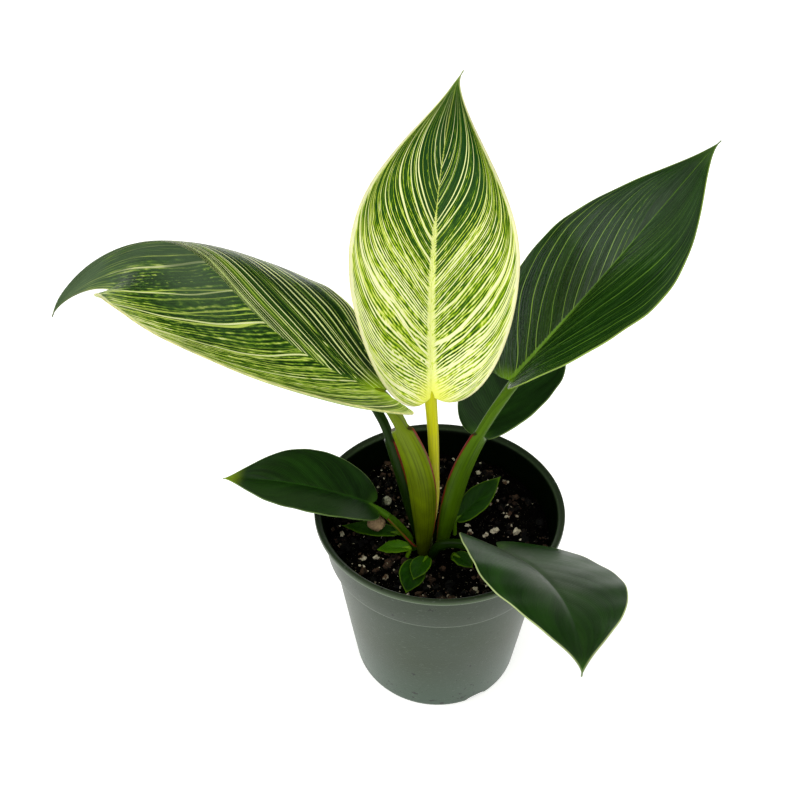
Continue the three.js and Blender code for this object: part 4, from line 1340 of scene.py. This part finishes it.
class PLANT_OT_blades(bpy.types.Operator):
    """Shapes the seven leaf blades and stripes them"""
    bl_idname = "plant.blades"
    bl_label = "Leaf blades"

    def execute(self, context):
        sizes, colours = context.scene.plant_sizes, context.scene.plant_colours
        looks = blade_looks(colours)
        slots = {
            "newest": "blade_cream_striped", "arching": "blade_pinstriped",
            "right": "blade_dark_pinstriped", "front_low": "blade_grey_green",
        }
        for name, leaf in BLADES.items():
            piece = shaped_sheet(f"blade_{name}", leaf["rows"], leaf["columns"], blade_place(leaf, sizes))
            soften(piece, 70)
            finish = blade_finish(f"{name.replace('_', ' ')} blade", looks[name])
            finish_piece(piece, finish, slots.get(name, "blade_dark_green"), f"leaf_blade_{name}")
        return {"FINISHED"}


class PLANT_OT_basal_leaves(bpy.types.Operator):
    """Shapes the six small leaves round the crown, each with its short stalk"""
    bl_idname = "plant.basal_leaves"
    bl_label = "Basal leaves"

    def execute(self, context):
        sizes, colours = context.scene.plant_sizes, context.scene.plant_colours
        look = blade_looks(colours)["basal"]
        finish = blade_finish("basal leaf", look)
        fresh_look = dict(look, tones=(tone(50, 96, 0), tone(76, 124, 0), *look["tones"][2:]), mottle=0.1)
        fresh = blade_finish("fresh basal leaf", fresh_look)
        for name, leaf in BASAL.items():
            stalk = shaped_sheet(f"basal_stalk_{name}", 30, 20,
                                 basal_stalk_place(leaf, sizes.soil_level / MM))
            piece = shaped_sheet(f"small_leaf_{name}", leaf["rows"], leaf["columns"],
                                 blade_place(leaf, sizes))
            only(piece)
            stalk.select_set(True)
            bpy.ops.object.join()
            soften(piece, 60)
            shown = fresh if name == "left" else finish
            finish_piece(piece, shown, "basal_leaf", f"basal_leaf_{name}")
        return {"FINISHED"}


class PLANT_OT_lumps(bpy.types.Operator):
    """Roughens the bark chip and the big perlite lump on the soil"""
    bl_idname = "plant.lumps"
    bl_label = "Bark and perlite lumps"

    def execute(self, context):
        colours = context.scene.plant_colours
        bark = grain_finish("bark chip", colours.bark, tone(78, 52, 32), scale=0.8, depth=0.9)
        pearl = grain_finish("perlite lump", tone(196, 194, 166), tone(40, 42, 28), scale=0.8, depth=1.4,
                             low=0.4)
        for name, node, material, slot in (
                ("loose_bark", "bark_chip", bark, "bark"),
                ("loose_perlite", "perlite_lump", pearl, "perlite")):
            clear_selection()
            piece = frame["nodes"][node].copy()
            piece.data = piece.data.copy()
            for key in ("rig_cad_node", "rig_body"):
                del piece[key]
            piece.parent = None
            context.scene.collection.objects.link(piece)
            only(piece)
            named(name)
            edit(piece,
                 (bpy.ops.mesh.remove_doubles, {"threshold": 0.01 * MM}),
                 (bpy.ops.mesh.bevel, {"offset": 0.5 * MM, "segments": 2, "affect": "EDGES"}),
                 (bpy.ops.mesh.subdivide, {"number_cuts": 5, "smoothness": 0.2}))
            points = read_points(piece) / MM
            centre = points.mean(0)
            for point in points:
                push = noise.fractal(Vector(point * 0.55), 0.7, 2.2, 5) * 0.28
                point += (point - centre) / np.linalg.norm(point - centre) * push
            write_points(piece, points * MM)
            soften(piece, 35)
            finish_piece(piece, material, slot, node)
        return {"FINISHED"}


class PLANT_PT_panel(bpy.types.Panel):
    """The plant's settings and its building steps"""
    bl_idname = "PLANT_PT_panel"
    bl_label = "Philodendron Birkin"
    bl_space_type = "VIEW_3D"
    bl_region_type = "UI"
    bl_category = "Plant"

    def draw(self, context):
        for group in (context.scene.plant_sizes, context.scene.plant_colours, context.scene.plant_stage):
            box = self.layout.box()
            for key in group.bl_rna.properties.keys():
                if key not in ("rna_type", "name"):
                    box.prop(group, key)
        for step in STEPS:
            self.layout.operator(step.bl_idname)


STEPS = (
    PLANT_OT_stage, PLANT_OT_pot, PLANT_OT_soil, PLANT_OT_stem, PLANT_OT_stalks, PLANT_OT_blades,
    PLANT_OT_basal_leaves, PLANT_OT_lumps,
)
SETTINGS = {"plant_sizes": PlantSizes, "plant_colours": PlantColours, "plant_stage": StageSettings}


def register():
    for group in SETTINGS.values():
        bpy.utils.register_class(group)
    for key, group in SETTINGS.items():
        setattr(bpy.types.Scene, key, bpy.props.PointerProperty(type=group))
    for step in (*STEPS, PLANT_PT_panel):
        bpy.utils.register_class(step)


def unregister():
    for step in (PLANT_PT_panel, *reversed(STEPS)):
        bpy.utils.unregister_class(step)
    for key, group in SETTINGS.items():
        delattr(bpy.types.Scene, key)
        bpy.utils.unregister_class(group)


def main():
    register()
    bpy.ops.plant.stage()
    bpy.ops.plant.pot()
    bpy.ops.plant.soil()
    bpy.ops.plant.stem()
    bpy.ops.plant.stalks()
    bpy.ops.plant.blades()
    bpy.ops.plant.basal_leaves()
    bpy.ops.plant.lumps()


if __name__ == "__main__":
    main()
